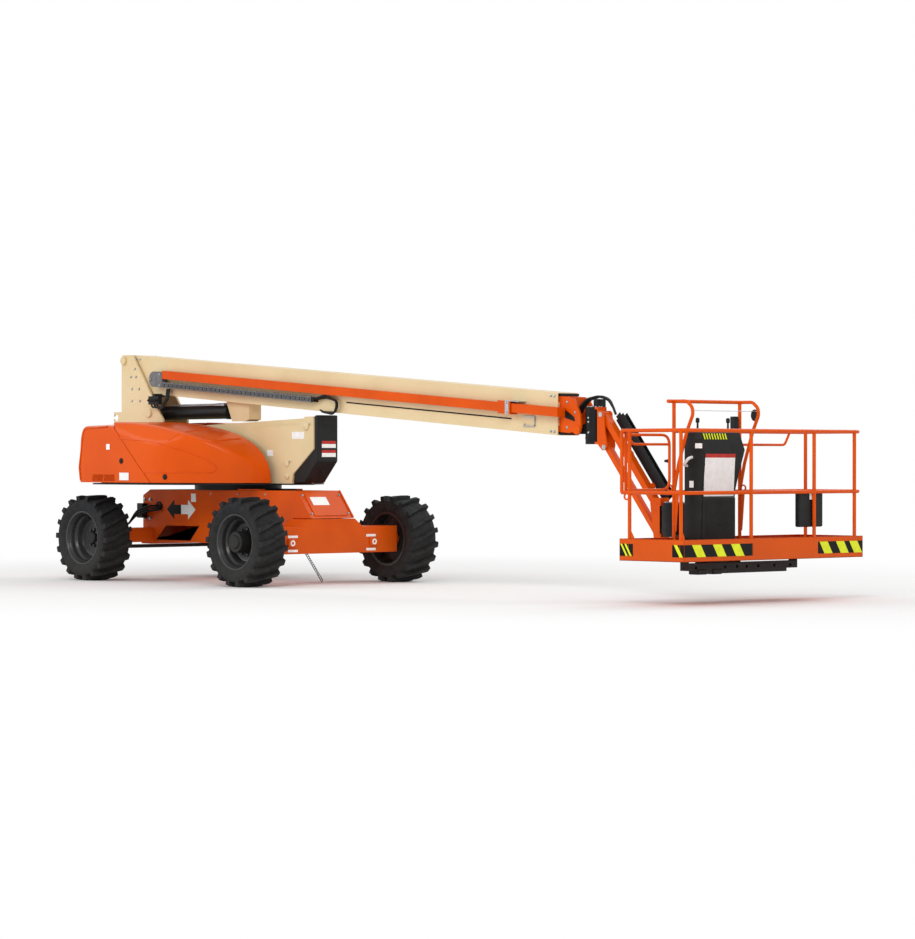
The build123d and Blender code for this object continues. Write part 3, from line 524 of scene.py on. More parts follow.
steer_hub = [(0.165, 0.0), (0.165, 0.100), (0.176, 0.100), (0.180, 0.096), (0.182, 0.074), (0.190, 0.070),
             (0.214, 0.066), (0.222, 0.058), (0.224, 0.0)]
for place, x, side, section, nut_ring in (
    ("drive_left", wheelbase / 2, 1, drive_hub, 0.133), ("drive_right", wheelbase / 2, -1, drive_hub, 0.133),
    ("steer_left", -wheelbase / 2, 1, steer_hub, 0.086),
    ("steer_right", -wheelbase / 2, -1, steer_hub, 0.086),
):
    body = "wheel_" + place
    inner = side * (wheel_out - rim_width)
    middle = at(x, side * (wheel_out - rim_width / 2), tyre_radius)
    finished("tyre_" + place + "_piece", moved(tyre_mesh.copy(), middle), tyre_rubber, body,
             ("tyre_" + place,), crease=28)
    flange = lathe([(side * a, r) for a, r in rim_section], "y", 64)
    finished("rim_" + place + "_piece", moved(flange, at(x, inner, tyre_radius)), rim_grey_with_painted_shade, body,
             ("rim_" + place,), crease=30)
    cap = lathe([(side * a, r) for a, r in section], "y", 48)
    finished("hub_" + place, moved(cap, at(x, inner, tyre_radius)), black_satin, body, crease=30)
    nut = moved(hex_head(0.03, side * 0.02, "y"), (nut_ring, side * 0.178, 0.0))
    nuts = faced_out(repeated(ring_of, nut, nut_count, (0.0, 1.0, 0.0), zinc, 2 * math.pi / nut_count))
    # The nuts take the rim's grey, with its painted shade.
    finished("nuts_" + place, moved(nuts, at(x, inner, tyre_radius)), rim_grey_with_painted_shade, body)


# Turntable: a tray with two cream mast plates welded on it, whose faces under the hoods take black satin
# paint as painted shade. Cream enamel is the same sprayed finish in a warm cream, with a tone that wanders a
# little, greyer low down where dust clings.
cream_enamel = finish_of("cream_enamel", "#E6D0A4", "#DEC799", 520, 0.36, 9, 0.05, 0.3,
                         "#A8967A")
# Faces whose middle lies below 1.05 m, under the hoods, take black satin paint: painted shade under the
# hoods.
eased_copies("turntable", cream_enamel, 0.003, other=black_satin, where=lambda middle: middle.z < 1.05)
mast_face = 0.150
for name, side in both_sides:
    level = side * mast_face
    keepers = [moved(round_cap(side, (-0.002, 0.012, 0.016), r, r - 0.006), at(x, level, z))
               for x, z, r in ((1.18, 1.64, 0.042), (0.87, 1.25, 0.036), (0.88, 1.12, 0.030))]
    tabs = [box(x - 0.012, x + 0.075, *sorted((level, level + side * 0.008)), z + 0.012, z + 0.036)
            for x, z in ((1.18, 1.64), (0.87, 1.25))]
    finished("mast_keepers_" + name, joined(keepers + tabs), cream_enamel, "turntable", ease=0.002)
    screws("mast_screws_" + name, "turntable",
           [(x, level + side * 0.008, z) for x, z in ((1.235, 1.664), (0.925, 1.274))], 0.016, "y", side)
    mast_labels = (block_shape(0.953, 1.145, 1.508, 1.582), block_shape(0.548, 0.645, 1.332, 1.395))
    stickers("mast_labels_" + name, "turntable", white_vinyl, mast_labels, "y", level, side)

# Front cover: a moulded black cover over the nose of the mast, with a lamp ring and two blank
# plates. Moulded ABS is an even black with a fine leathery grain and a low sheen.
black_plastic = finish_of("moulded_black_abs", "#1E1F1F", "#171818", 90, 0.48, 1.6, 0.25,
                          0.2)
eased_copies("turntable", black_plastic, 0.012, "front_cover")
stickers("cover_plates_white", "turntable", white_vinyl,
         (block_shape(-0.08, 0.11, 1.415, 1.455), block_shape(-0.08, 0.11, 1.321, 1.362)), "x", 1.347, 1)
stickers("cover_plates_red", "turntable", red_vinyl,
         (block_shape(-0.08, 0.11, 1.457, 1.487), block_shape(-0.08, 0.11, 1.364, 1.393)), "x", 1.347, 1)
lamp = lathe([(-0.003, 0.0), (-0.003, 0.03), (0.006, 0.03), (0.010, 0.026), (0.010, 0.016), (0.004, 0.012),
              (0.004, 0.0)], "x", 32)
tip = Matrix.Rotation(math.atan2(0.207, 0.225), 4, "Y")
finished("cover_lamp", moved(lamp, at(1.235, 0.0, 1.156), tip), black_satin, "turntable")


# Hoods: glossy moulded shells, a fixed tail and a lifting door each side. Each is shaped by the
# CAD hood's plan, side and front outlines, blended into one smooth skin whose corners are
# rounded by edge_ease, and is cut along the sloping seam. The plastic is orange through and
# through, smoother and glossier than the enamel.
hood_plastic = finish_of("moulded_orange_shell", "#E45700", "#DC5100", 700, 0.24, 6, 0.02,
                         0.16, "#A8663C")
hood_in = 0.225
hood_low = 1.05
hood_out = 1.095
hood_nose = (0.71, 0.16)
hood_bend_x = -0.45
hood_tail_x = -1.53
hood_skin = 0.02
edge_ease = 0.009
skin_reach = 2.5
halvings = 40
skin_cuts = 47
skin_crowding = 0.72
seam_low = Vector((-0.255, 0.0, 1.05))
seam_high = Vector((-0.935, 0.0, 1.702))
hood_plan = [(hood_tail_x, 0.0), (hood_tail_x, 1.04), (hood_tail_x + 0.025, 1.08),
             (hood_tail_x + 0.06, hood_out), (hood_bend_x, hood_out)]
for turn in range(15, 90, 15):
    swing = math.radians(turn)
    hood_plan.append((hood_bend_x + (hood_nose[0] - hood_bend_x) * math.sin(swing),
                      hood_nose[1] + (hood_out - hood_nose[1]) * math.cos(swing)))
hood_plan += [(hood_nose[0] - 0.002, hood_in), (hood_nose[0] - 0.002, 0.0)]
hood_side = ((0.71, 0.9), (0.71, 1.11), (0.65, 1.27), (0.54, 1.385), (0.40, 1.475), (0.15, 1.57),
             (-0.30, 1.655), (-0.80, 1.702), (-1.25, 1.70), (-1.40, 1.67), (-1.44, 1.62), (-1.522, 1.204),
             (-1.443, 0.9))
door_front = ((0.0, 0.9), (1.10, 0.9), (1.10, 1.70), (0.70, 1.72), (0.0, 1.74))
# three points of the door's sloping shoulder, which starts level with the tail's edge at the seam
door_shoulder = ((-0.935, 1.095, 1.640), (-0.031, 1.014, 1.499), (0.077, 0.940, 1.572))
tail_front = ((0.0, 0.9), (1.10, 0.9), (1.10, 1.63), (1.085, 1.655), (0.0, 1.72))


def half_planes(outline, axes):
    """The outward walls of a convex outline drawn in two of the axes, as normals and distances."""
    walls = []
    middle = numpy.mean(outline, axis=0)
    for start, end in zip(outline, outline[1:]):
        along = numpy.subtract(end, start)
        out = numpy.array((along[1], -along[0])) / numpy.hypot(*along)
        if out @ (numpy.array(start) - middle) < 0:
            out = -out
        wall = numpy.zeros(4)
        wall[list(axes)] = out
        wall[3] = out @ numpy.array(start)
        walls.append(wall)
    return walls


def hood_walls(front_view, extra=()):
    """All the outward walls of a hood whose front view is given, with any extra ones."""
    return numpy.array(half_planes(hood_plan, (0, 1)) + half_planes(hood_side, (0, 2))
                       + half_planes(front_view, (1, 2)) + [numpy.array((0, 0, -1, -0.9)), *extra])


def wall_through(first, second, third):
    """The outward wall through three points of the left shoulder."""
    out = numpy.cross(numpy.subtract(second, first), numpy.subtract(third, first))
    out = out * numpy.sign(out[1]) / numpy.linalg.norm(out)
    return numpy.append(out, out @ numpy.array(first))


def skin_points(walls, start, aims):
    """Where rays from a start inside the hood meet its blended skin."""
    low, high = numpy.zeros(len(aims)), numpy.full(len(aims), skin_reach)
    for halving in range(halvings):
        share = (low + high) / 2
        points = start + aims * share[:, None]
        depths = (points @ walls[:, :3].T - walls[:, 3]) / edge_ease
        peak = depths.max(axis=1)
        blended = peak + numpy.log(numpy.exp(depths - peak[:, None]).sum(axis=1))
        low = numpy.where(blended < 0, share, low)
        high = numpy.where(blended < 0, high, share)
    return start + aims * low[:, None]


def hood_skin_mesh(walls):
    """A grid block whose points are drawn in along rays until they lie on the blended skin."""
    shell = bmesh.new()
    bmesh.ops.create_cube(shell, size=2.0)
    bmesh.ops.subdivide_edges(shell, edges=shell.edges, cuts=skin_cuts, use_grid_fill=True)
    spots = numpy.array([tuple(vert.co) for vert in shell.verts])
    spots = numpy.tan(spots * skin_crowding) / math.tan(skin_crowding)
    aims = spots * numpy.array((1.12, 0.72, 0.55))
    for vert, point in zip(shell.verts, skin_points(walls, numpy.array((-0.42, 0.42, 1.2)), aims)):
        vert.co = at(*point)
    bmesh.ops.recalc_face_normals(shell, faces=shell.faces)
    return shell


door_walls = hood_walls(door_front, (wall_through(*door_shoulder),))
blocks = {"tail": hood_skin_mesh(hood_walls(tail_front)), "door": hood_skin_mesh(door_walls)}
seam_way = (seam_high - seam_low).normalized()
seam_out = Vector((seam_way.z, 0.0, -seam_way.x))


def hood_shell(kind, side):
    """The tail's or the door's part of the skin, open below and towards the boom, with a wall."""
    shell = blocks[kind].copy()
    gap = 0.004
    walls = [(at(0, hood_in, 0), Vector((0, -1, 0))), (at(0, 0, hood_low), Vector((0, 0, -1)))]
    toward = 1 if kind == "tail" else -1
    walls.append((at(*seam_low) - seam_out * gap * toward, seam_out * toward))
    for place, out in walls:
        whole = list(shell.verts) + list(shell.edges) + list(shell.faces)
        bmesh.ops.bisect_plane(shell, geom=whole, plane_co=place, plane_no=out, clear_outer=True)
    if side < 0:
        for vert in shell.verts:
            vert.co.y = -vert.co.y
        bmesh.ops.reverse_faces(shell, faces=shell.faces)
    holder = linked("hood", mesh_of(shell))
    wall = holder.modifiers.new("wall", "SOLIDIFY")
    wall.thickness = hood_skin
    wall.offset = -1.0
    wall.use_even_offset = False
    return final_mesh(holder)


# The raised line on the door's side, laid on the skin, and the creases over its shoulder.
door_line = ((-0.793, 1.520), (-0.446, 1.501), (-0.126, 1.462), (0.101, 1.405), (0.251, 1.353),
             (0.364, 1.300), (0.420, 1.248), (0.438, 1.207), (0.427, 1.175), (0.393, 1.161), (0.286, 1.161),
             (0.101, 1.160), (-0.126, 1.160), (-0.369, 1.160))
shoulder_line = ((-0.031, 1.014), (0.077, 0.940), (0.060, 0.82), (0.014, 0.730), (-0.098, 0.424))
nose_line = ((0.335, 0.800), (0.357, 0.778), (0.375, 0.725), (0.327, 0.525), (0.295, 0.309))
flat_line = numpy.array(door_line)
door_bead = [Vector(place) for place in skin_points(
    door_walls, numpy.column_stack((flat_line[:, 0], numpy.full(len(flat_line), 0.1), flat_line[:, 1])),
    numpy.tile((0.0, 1.0, 0.0), (len(flat_line), 1)))]
top_beads = []
for line in (shoulder_line, nose_line):
    plan_line = numpy.array(line)
    top_beads.append([Vector(place) for place in skin_points(
        door_walls, numpy.column_stack((plan_line, numpy.full(len(plan_line), 1.0))),
        numpy.tile((0.0, 0.0, 1.0), (len(plan_line), 1)))])

window_low, window_high = 1.064, 1.134
for name, side in (("left", 1), ("right", -1)):
    level = side * hood_out
    near, far = sorted((side * 0.9, side * 1.2))
    tail = linked("tail", hood_shell("tail", side))
    windows = linked("windows", joined([box(low, high, near, far, window_low, window_high)
                                        for low, high in ((-1.24, -1.05), (-1.035, -0.85))]))
    bore = tail.modifiers.new("windows", "BOOLEAN")
    bore.object = windows
    bore.operation = "DIFFERENCE"
    bore.solver = "EXACT"
    finished("tail_shell_" + name, final_mesh(tail), hood_plastic, "turntable", ("tail_" + name,), crease=40)
    bpy.data.objects.remove(windows)
    finished("hood_shell_" + name, hood_shell("door", side), hood_plastic, "hood_" + name, ("hood_" + name,),
             crease=40)
    beads = [tube([at(p.x, side * p.y, p.z) for p in line], 0.009, 0.05) for line in [door_bead] + top_beads]
    finished("hood_beads_" + name, joined(beads), hood_plastic, "hood_" + name)
    # a rim pressed round the tail's rear and upper edge
    rim_line = ((-1.452, 1.07), (-1.475, 1.21), (-1.405, 1.585), (-1.375, 1.625), (-0.97, 1.648))
    finished("tail_rim_" + name, tube([at(x, level - side * 0.003, z) for x, z in rim_line], 0.007, 0.06),
             hood_plastic, "turntable")
    # slanting slats across both windows, and the dark box behind them
    near, far = sorted((level - side * 0.018, level - side * 0.003))
    slat = plate(((-1.26, window_low - 0.004), (-1.253, window_low - 0.004), (-1.225, window_high + 0.004),
                  (-1.232, window_high + 0.004)), near, far)
    slats = repeated(row_of, slat, 19, (0.0212, 0.0, 0.0), hood_plastic)
    finished("tail_slats_" + name, slats, hood_plastic, "turntable")
    finished("tail_vent_box_" + name, box(-1.25, -0.84, *sorted((level - side * 0.024, level - side * 0.04)),
                                          window_low - 0.006, window_high + 0.01), black_satin, "turntable")
    # switch, latch and blank labels on the shell's side
    latch = [(side * -0.006, 0.0), (side * -0.006, 0.030), (side * 0.005, 0.030), (side * 0.009, 0.025),
             (side * 0.009, 0.014), (side * 0.014, 0.010), (side * 0.014, 0.0)]
    finished("hood_switch_" + name, moved(lathe(latch, "y", 32), at(-0.731, level - side * 0.003, 1.279)),
             black_satin, "hood_" + name)
    finished("hood_latch_" + name, moved(lathe(latch, "y", 32), at(-0.063, level - side * 0.062, 1.112)),
             black_satin, "hood_" + name)
    stickers("tail_labels_" + name, "turntable", white_vinyl,
             (block_shape(-0.76, -0.60, 1.075, 1.155), block_shape(-0.99, -0.93, 1.40, 1.46)), "y",
             level - side * 0.0005, side)
for block in blocks.values():
    block.free()

# Under the tail: cast counterweight and the engine block, left rough and sprayed black.
eased_copies("turntable", black_satin, 0.010, "counterweight", "engine")

# Tower: cream box boom with the timing link's two flat bars under it, on turned pins.
eased_copies("tower_boom", cream_enamel, 0.004)
eased_copies("timing_link", cream_enamel, 0.003)
eased_copies("tower_barrel", black_satin, 0.002, "tower_cylinder_barrel")
chrome = finish_of("hard_chrome", "#D9DADC", "#CFD1D4", 90, 0.12, 2, 0.02, metal=1.0)
eased_copies("tower_rod", chrome, 0.001, "tower_cylinder_rod")

# Upright: two tall cream plates with a back plate between, and turned caps on its pins.
eased_copies("upright", cream_enamel, 0.003)
upright_face = 0.180
for name, side in both_sides:
    level = side * (upright_face + 0.014)
    caps = [moved(round_cap(side, (-0.016, 0.006, 0.010), r, r - 0.005), at(x, level, z))
            for x, z, r in ((-1.873, 2.385, 0.046), (-1.42, 1.802, 0.046), (-1.57, 1.54, 0.04),
                            (-1.88, 1.15, 0.04))]
    finished("upright_caps_" + name, joined(caps), cream_enamel, "upright", ease=0.001)
    screws("upright_screws_" + name, "upright",
           [(x, side * upright_face, z) for x, z in ((-1.749, 2.205), (-1.659, 2.204), (-1.731, 2.073),
                                                    (-1.605, 2.071), (-1.731, 1.94), (-1.588, 1.939),
                                                    (-1.677, 2.292))],
           0.02, "y", side)

# Upper boom: long cream box with folded edges, wear-pad screws near its mouth, an outlined bracket
# on each side and, on the near side, a thin dark guide line and the side tube's clamp strap. It
# slopes down towards the platform.
eased_copies("main_boom", cream_enamel, 0.008, other=orange_enamel, where=lambda middle: middle.y < -0.145)
boom_rear = -1.765
boom_front = 4.852
boom_top = 2.447
boom_fall = 0.515 / (boom_front - boom_rear)
boom_half = 0.140


def boom_z(x, depth):
    """Height of a line along the boom, at a depth below its top face."""
    return boom_top - (x - boom_rear) * boom_fall - depth


def boom_strip(x_low, x_high, top, bottom):
    """A length of the boom's side between two depths."""
    return ((x_low, boom_z(x_low, bottom)), (x_high, boom_z(x_high, bottom)),
            (x_high, boom_z(x_high, top)), (x_low, boom_z(x_low, top)))


for name, side in both_sides:
    level = side * boom_half
    places = [(x, level, boom_z(x, depth)) for x in (4.76, 4.81) for depth in (0.035, 0.375)]
    places += [(x, level, boom_z(x, depth)) for x in (-1.70, -1.64) for depth in (0.04, 0.36)]
    screws("boom_screws_" + name, "main_boom", places, 0.02, "y", side)
    pivot_cap = round_cap(side, (-0.006, 0.005, 0.010), 0.055, 0.048)
    finished("boom_pivot_cap_" + name, moved(pivot_cap, at(-1.873, level, 2.385)), cream_enamel, "main_boom")
    bracket = [box(x_low, x_high, *sorted((level - side * 0.002, level + side * 0.016)), z_low, z_high)
               for x_low, x_high, z_low, z_high in ((4.40, 4.55, boom_z(4.40, 0.268), boom_z(4.40, 0.258)),
                                                    (4.54, 4.55, 1.615, boom_z(4.54, 0.256)),
                                                    (4.40, 4.55, 1.612, 1.622), (4.40, 4.41, 1.612, 1.64))]
    finished("boom_side_bracket_" + name, joined(bracket), zinc, "main_boom", ease=0.001)
stickers("boom_guide_line", "main_boom", black_vinyl, (boom_strip(1.80, 4.22, 0.284, 0.298),), "y",
         -boom_half)
clamp = joined([plate(boom_strip(4.235, 4.285, 0.119, 0.245), -0.246, -0.241),
                plate(boom_strip(4.235, 4.42, 0.112, 0.119), -0.246, -boom_half)])
finished("tube_clamp_strap", clamp, zinc, "main_boom", ease=0.001)
screws("tube_clamp_screws", "main_boom", [(4.26, -0.246, boom_z(4.26, depth)) for depth in (0.135, 0.229)],
       0.014)

# Chain of nylon links along the boom's near side: moulded links, worn to a mid grey on their
# faces, over a dark band that shows in the gaps, with a pressed half-round guard at the rear.
chain_nylon = finish_of("moulded_black_nylon", "#1D1E1F", "#161718", 50, 0.5, 1.5, 0.2, 0.2)
chain_grey = finish_of("worn_grey_nylon", "#757678", "#66676A", 40, 0.5, 1.5, 0.15, 0.25)
chain_top = 0.262
chain_deep = 0.322
chain_out = -0.218
chain_x = -1.295
chain_end = 1.36
chain_pitch = 0.073
chain_loop_r = 0.084
finished("chain_band", plate(boom_strip(chain_x, chain_end, chain_top + 0.006, chain_deep - 0.006),
                             chain_out + 0.008, -boom_half), chain_nylon, "main_boom", ("energy_chain",))
link_count = int((chain_end - chain_x) / chain_pitch)
step = (chain_pitch, 0.0, -chain_pitch * boom_fall)
link = plate(boom_strip(chain_x, chain_x + 0.063, chain_top, chain_deep), chain_out, chain_out + 0.030)
pocket = plate(boom_strip(chain_x + 0.012, chain_x + 0.051, chain_top + 0.014, chain_deep - 0.014),
               chain_out - 0.0015, chain_out + 0.001)
finished("chain_links", repeated(row_of, link, link_count, step, chain_grey), chain_grey, "main_boom",
         ease=0.002)
finished("chain_pockets", repeated(row_of, pocket, link_count, step, chain_nylon), chain_nylon, "main_boom")
middle_z = boom_z(chain_x + 0.0315, (chain_top + chain_deep) / 2)
link_pin = moved(round_cap(-1, (0.002, 0.006, 0.0075), 0.010, 0.008, "y", 16),
                 at(chain_x + 0.0315, chain_out, middle_z))
finished("chain_pins", repeated(row_of, link_pin, link_count, step, chain_grey), chain_grey, "main_boom")
loop_z = boom_z(chain_x, chain_deep - chain_loop_r)
guard_turns = [math.pi * i / 16 for i in range(17)]
guard_rim = [(chain_x - chain_loop_r * math.sin(turn), loop_z - chain_loop_r * math.cos(turn))
             for turn in guard_turns]
guard_rim += [(chain_x + 0.145, loop_z + 0.073), (chain_x + 0.145, loop_z - 0.095)]
finished("chain_loop_guard", plate(guard_rim, chain_out - 0.004, -boom_half), chain_grey, "main_boom",
         ease=0.002)
screws("chain_guard_screws", "main_boom",
       [(chain_x - 0.05, chain_out - 0.004, loop_z), (chain_x + 0.11, chain_out - 0.004, loop_z + 0.05),
        (chain_x + 0.11, chain_out - 0.004, loop_z - 0.07)], 0.018)
chain_hoses = [tube(run((chain_end - 0.02, -0.165 - 0.016 * i, boom_z(1.36, 0.29)),
                        (chain_end + 0.16, -0.165 - 0.016 * i, boom_z(1.5, 0.262) + 0.012 * i),
                        (chain_end + 0.34 + 0.012 * i, -0.165 - 0.016 * i, 1.89),
                        (chain_end + 0.30, -0.160 - 0.012 * i, 1.775 - 0.010 * i),
                        (chain_end + 0.08, -0.150, 1.785), (chain_end + 0.02, -0.13, 1.81)), 0.0105, 0.10)
               for i in range(3)]
finished("chain_hoses", joined(chain_hoses), hose_rubber, "main_boom")

# Hydraulic valve cluster under the boom's rear, on a strap from its underside, with its hoses.
cluster = joined([box(-1.36, -1.18, -0.245, -0.192, 1.895, 1.985),
                  box(-1.29, -1.24, -0.245, -0.10, 1.98, 2.012)])
finished("valve_block", cluster, black_satin, "main_boom", ease=0.005)
spool = moved(round_cap(-1, (0.0, 0.026, 0.032), 0.013, 0.009, "y", 16), at(-1.33, -0.244, 1.94))
finished("valve_spools", repeated(row_of, spool, 4, (0.04, 0.0, 0.0), chain_nylon), chain_nylon, "main_boom")
valve_hoses = [tube(run((-1.33 + 0.05 * i, -0.225, 1.90), (-1.31 + 0.05 * i, -0.225, 1.865),
                        (-1.15, -0.22, 1.86 - 0.012 * i), (-1.10 + 0.02 * i, -0.20, 1.96),
                        (-1.12 + 0.02 * i, -0.17, 2.06)), 0.010, 0.05)
               for i in range(3)]
finished("valve_hoses", joined(valve_hoses), hose_rubber, "main_boom")

# Lift cylinder: black barrel with a gland nut, a port block and its steel pipe, hard-chromed rod.
eased_copies("lift_barrel", black_satin, 0.002, "lift_cylinder_barrel")
eased_copies("lift_rod", chrome, 0.001, "lift_cylinder_rod")
lift_turn = Matrix.Rotation(-math.atan2(0.004, 1.4), 4, "Y")
gland = round_cap(1, (0.0, 0.05, 0.056), 0.079, 0.073, "x", 40)
finished("lift_gland", moved(gland, at(-0.29, 0.0, 1.8052), lift_turn), black_satin,
         "lift_barrel", crease=30)
finished("lift_port_block", box(-0.34, -0.29, -0.05, 0.05, 1.868, 1.902), zinc, "lift_barrel", ease=0.004)
lift_pipe = tube(run((-0.33, 0.0, 1.893), (-0.42, 0.0, 1.893), (-0.5, -0.02, 1.888), (-1.25, -0.02, 1.886),
                     (-1.28, -0.01, 1.868)), 0.009, 0.05)
finished("lift_pipe", lift_pipe, zinc, "lift_barrel")

# Fly boom: the orange inner box and its side tube, dark nylon wear pads at the mouth, and the
# service box with its recess at the nose.
eased_copies("fly_boom", orange_enamel, 0.003, "fly_boom", "side_tube")
fly_half = 0.113
for name, depth_low, depth_high in (("top", 0.006, 0.029), ("bottom", 0.379, 0.402)):
    finished("wear_pad_" + name, plate(boom_strip(boom_front - 0.03, boom_front + 0.035, depth_low,
                                                  depth_high), -0.118, 0.118), chain_nylon, "main_boom",
             ease=0.002)
for name, side in both_sides:
    level = side * fly_half
    near, far = sorted((level - side * 0.002, level + side * 0.004))
    recess = ((4.915, boom_z(4.915, 0.15)), (5.045, 1.70), (5.06, 1.655), (4.93, 1.69))
    finished("nose_recess_" + name, plate(recess, near, far), black_satin, "fly_boom", ease=0.001)
    pivot = moved(round_cap(side, (-0.004, 0.010, 0.015), 0.046, 0.040), at(5.085, level, 1.575))
    finished("nose_pivot_" + name, pivot, orange_enamel, "fly_boom")
    screws("nose_screws_" + name, "fly_boom",
           [(4.955, level, 1.84), (4.955, level, 1.60), (5.06, level, 1.74)], 0.018, "y", side)

# Level head and jib yoke: black castings round the swing actuator, with its end cap screws and
# swaged zinc fittings.
eased_copies("level_head", black_satin, 0.003)
eased_copies("jib_yoke", black_satin, 0.003, other=orange_enamel,
             where=lambda middle: middle.x > 5.298 + origin_shift)
swing_x = 5.205
cap_screws = moved(hex_head(0.016, 0.009, "z"), (0.066, 0.0, 0.0))
cap_ring = repeated(ring_of, cap_screws, 10, (0.0, 0.0, 1.0), zinc, math.pi / 5)
finished("swing_cap_screws", moved(cap_ring, at(swing_x, 0.0, 1.791)), zinc, "jib_yoke")
bands = [moved(hoop(-0.008, 0.008, 0.084, 0.089, "z"), at(swing_x, 0.0, z)) for z in (1.50, 1.615, 1.73)]
finished("swing_bands", joined(bands), black_satin, "level_head")
fittings = [moved(round_cap(-1, (0.0, 0.004, 0.008), 0.012, 0.008, "y", 16), at(swing_x, -0.080, z))
            for z in (1.69, 1.65, 1.55)]
finished("swing_fittings", joined(fittings), zinc, "level_head")
for name, side in both_sides:
    head = [(side * -0.002, 0.0), (side * -0.002, 0.024), (side * 0.006, 0.024), (side * 0.006, 0.0)]
    caps = [moved(lathe(head, "y", 24), at(x, side * 0.060, z)) for x, z in ((5.345, 1.72), (5.39, 1.41))]
    finished("yoke_pin_heads_" + name, joined(caps), zinc, "jib_yoke")

# Jib: orange upper arm and lower link, with the hose guard channel on the far side of the arm.
eased_copies("jib_arm", orange_enamel, 0.004)
eased_copies("jib_link", orange_enamel, 0.004)
eased_copies("jib_barrel", black_satin, 0.002, "jib_cylinder_barrel")
eased_copies("jib_rod", chrome, 0.001, "jib_cylinder_rod")
jib_foot = Vector((5.345, 0.0, 1.720))
jib_way = Vector((math.cos(math.radians(-51.3)), 0.0, math.sin(math.radians(-51.3))))
jib_up = Vector((-jib_way.z, 0.0, jib_way.x))


def jib_strip(start, end, low, high):
    """A length beside the jib arm between two distances above its axis, in side view."""
    corners = [jib_foot + jib_way * along + jib_up * up
               for along, up in ((start, low), (end, low), (end, high), (start, high))]
    return [(corner.x, corner.z) for corner in corners]


guard = joined([plate(jib_strip(0.10, 1.08, 0.034, 0.150), 0.058, 0.062),
                plate(jib_strip(0.10, 1.08, 0.034, 0.150), 0.112, 0.116),
                plate(jib_strip(0.10, 1.08, 0.034, 0.038), 0.062, 0.112)])
finished("jib_hose_guard", guard, black_satin, "jib_arm", ease=0.0015)
tabs = joined([plate(jib_strip(start, start + 0.05, 0.0, 0.05), 0.0375, 0.060) for start in (0.30, 0.86)])
finished("jib_guard_tabs", tabs, orange_enamel, "jib_arm", ease=0.002)
for i in range(3):
    start, end = jib_strip(0.06, 1.0, 0.052 + 0.022 * i, 0.06)[:2]
    line = tube(run((start[0], 0.080, start[1]), (end[0], 0.080, end[1])), 0.0095)
    finished("jib_hose_%d" % (i + 1), line, hose_rubber, "jib_arm")
nose_arch = [tube(run((5.01, -0.05 + 0.03 * i, 1.72), (5.06, -0.05 + 0.03 * i, 1.79),
                      (5.12, -0.03 + 0.03 * i, 1.865), (5.24, 0.02 + 0.02 * i, 1.895),
                      (5.33, 0.06 + 0.01 * i, 1.865), (5.385, 0.075, 1.78), (5.41, 0.08, 1.72)), 0.012, 0.12)
             for i in range(3)]
finished("nose_hose_arch", joined(nose_arch), hose_rubber, "jib_yoke")
finished("nose_hose_clamp", box(5.20, 5.26, -0.01, 0.10, 1.79, 1.868), black_satin, "jib_yoke", ease=0.004)

# Platform bracket and support: the orange bracket at the jib's foot, and the black rotator
# clamps, plate and pierced cross beam that carry the floor.
eased_copies("platform_bracket", orange_enamel, 0.003, other=black_satin,
             where=lambda middle: middle.x > 6.12 + origin_shift)
eased_copies("platform", black_satin, 0.003, "platform_support")
rotator_x = 6.235
rotor = [moved(hoop(-0.008, 0.008, 0.110, 0.119, "z"), at(rotator_x, 0.0, z)) for z in (0.64, 0.735, 0.83)]
finished("rotator_bands", joined(rotor), black_satin, "platform_bracket")
rotor_screw = moved(hex_head(0.018, 0.010, "z"), (0.082, 0.0, 0.0))
rotor_screws = repeated(ring_of, rotor_screw, 10, (0.0, 0.0, 1.0), zinc, math.pi / 5)
finished("rotator_screws", moved(rotor_screws, at(rotator_x, 0.0, 0.893)), zinc, "platform")
lumps = [box(6.985, 7.105, y_low, y_high, 0.262, 0.31) for y_low, y_high in ((-0.62, -0.50), (-0.42, -0.30))]
finished("beam_lumps", joined(lumps), black_satin, "platform", ease=0.008)

# Platform: orange steel floor tray with deep toe boards, and rails bent from round tube, welded to
# upright posts. The guard over the back rail carries two bent hoops with gusset plates.
back = 6.715
front = 7.465
half = 1.200
rail = 0.017
floor_low = 0.394
toe_top = 0.590
mid_rail = 1.000
top_rail = 1.550
guard_top = 1.820
hand_rail = 1.430
guard_low = -0.520
guard_high = 0.370
toe = 0.015
tray_walls = [box(back - toe, front + toe, -half - toe, half + toe, floor_low, floor_low + 0.004),
              box(back - toe, back - toe + 0.004, -half - toe, half + toe, floor_low, toe_top),
              box(front + toe - 0.004, front + toe, -half - toe, half + toe, floor_low, toe_top),
              box(back - toe, front + toe, -half - toe, -half - toe + 0.004, floor_low, toe_top),
              box(back - toe, front + toe, half + toe - 0.004, half + toe, floor_low, toe_top)]
lips = [(back - toe, front + toe, -half - toe, -half + 0.008),
        (back - toe, front + toe, half - 0.008, half + toe), (back - toe, back + 0.008, -half, half),
        (front - 0.008, front + toe, -half, half)]
tray_walls += [box(*lip, toe_top - 0.004, toe_top) for lip in lips]
tray_walls += [box(*lip, floor_low, floor_low + 0.006) for lip in lips]
finished("platform_tray", joined(tray_walls), orange_enamel, "platform", ("platform",), 0.0015)
tread_low, tread_high = -half + 0.03, -half + 0.10
tread = plate(((back, tread_low), (back + 0.012, tread_low), (back + 0.03, tread_high),
               (back + 0.018, tread_high)), floor_low + 0.004, floor_low + 0.0065, "z")
tread_row = repeated(row_of, tread, 22, (0.034, 0.0, 0.0), zinc)
finished("floor_tread", repeated(row_of, tread_row, 24, (0.0, 0.098, 0.0), zinc), zinc, "platform")

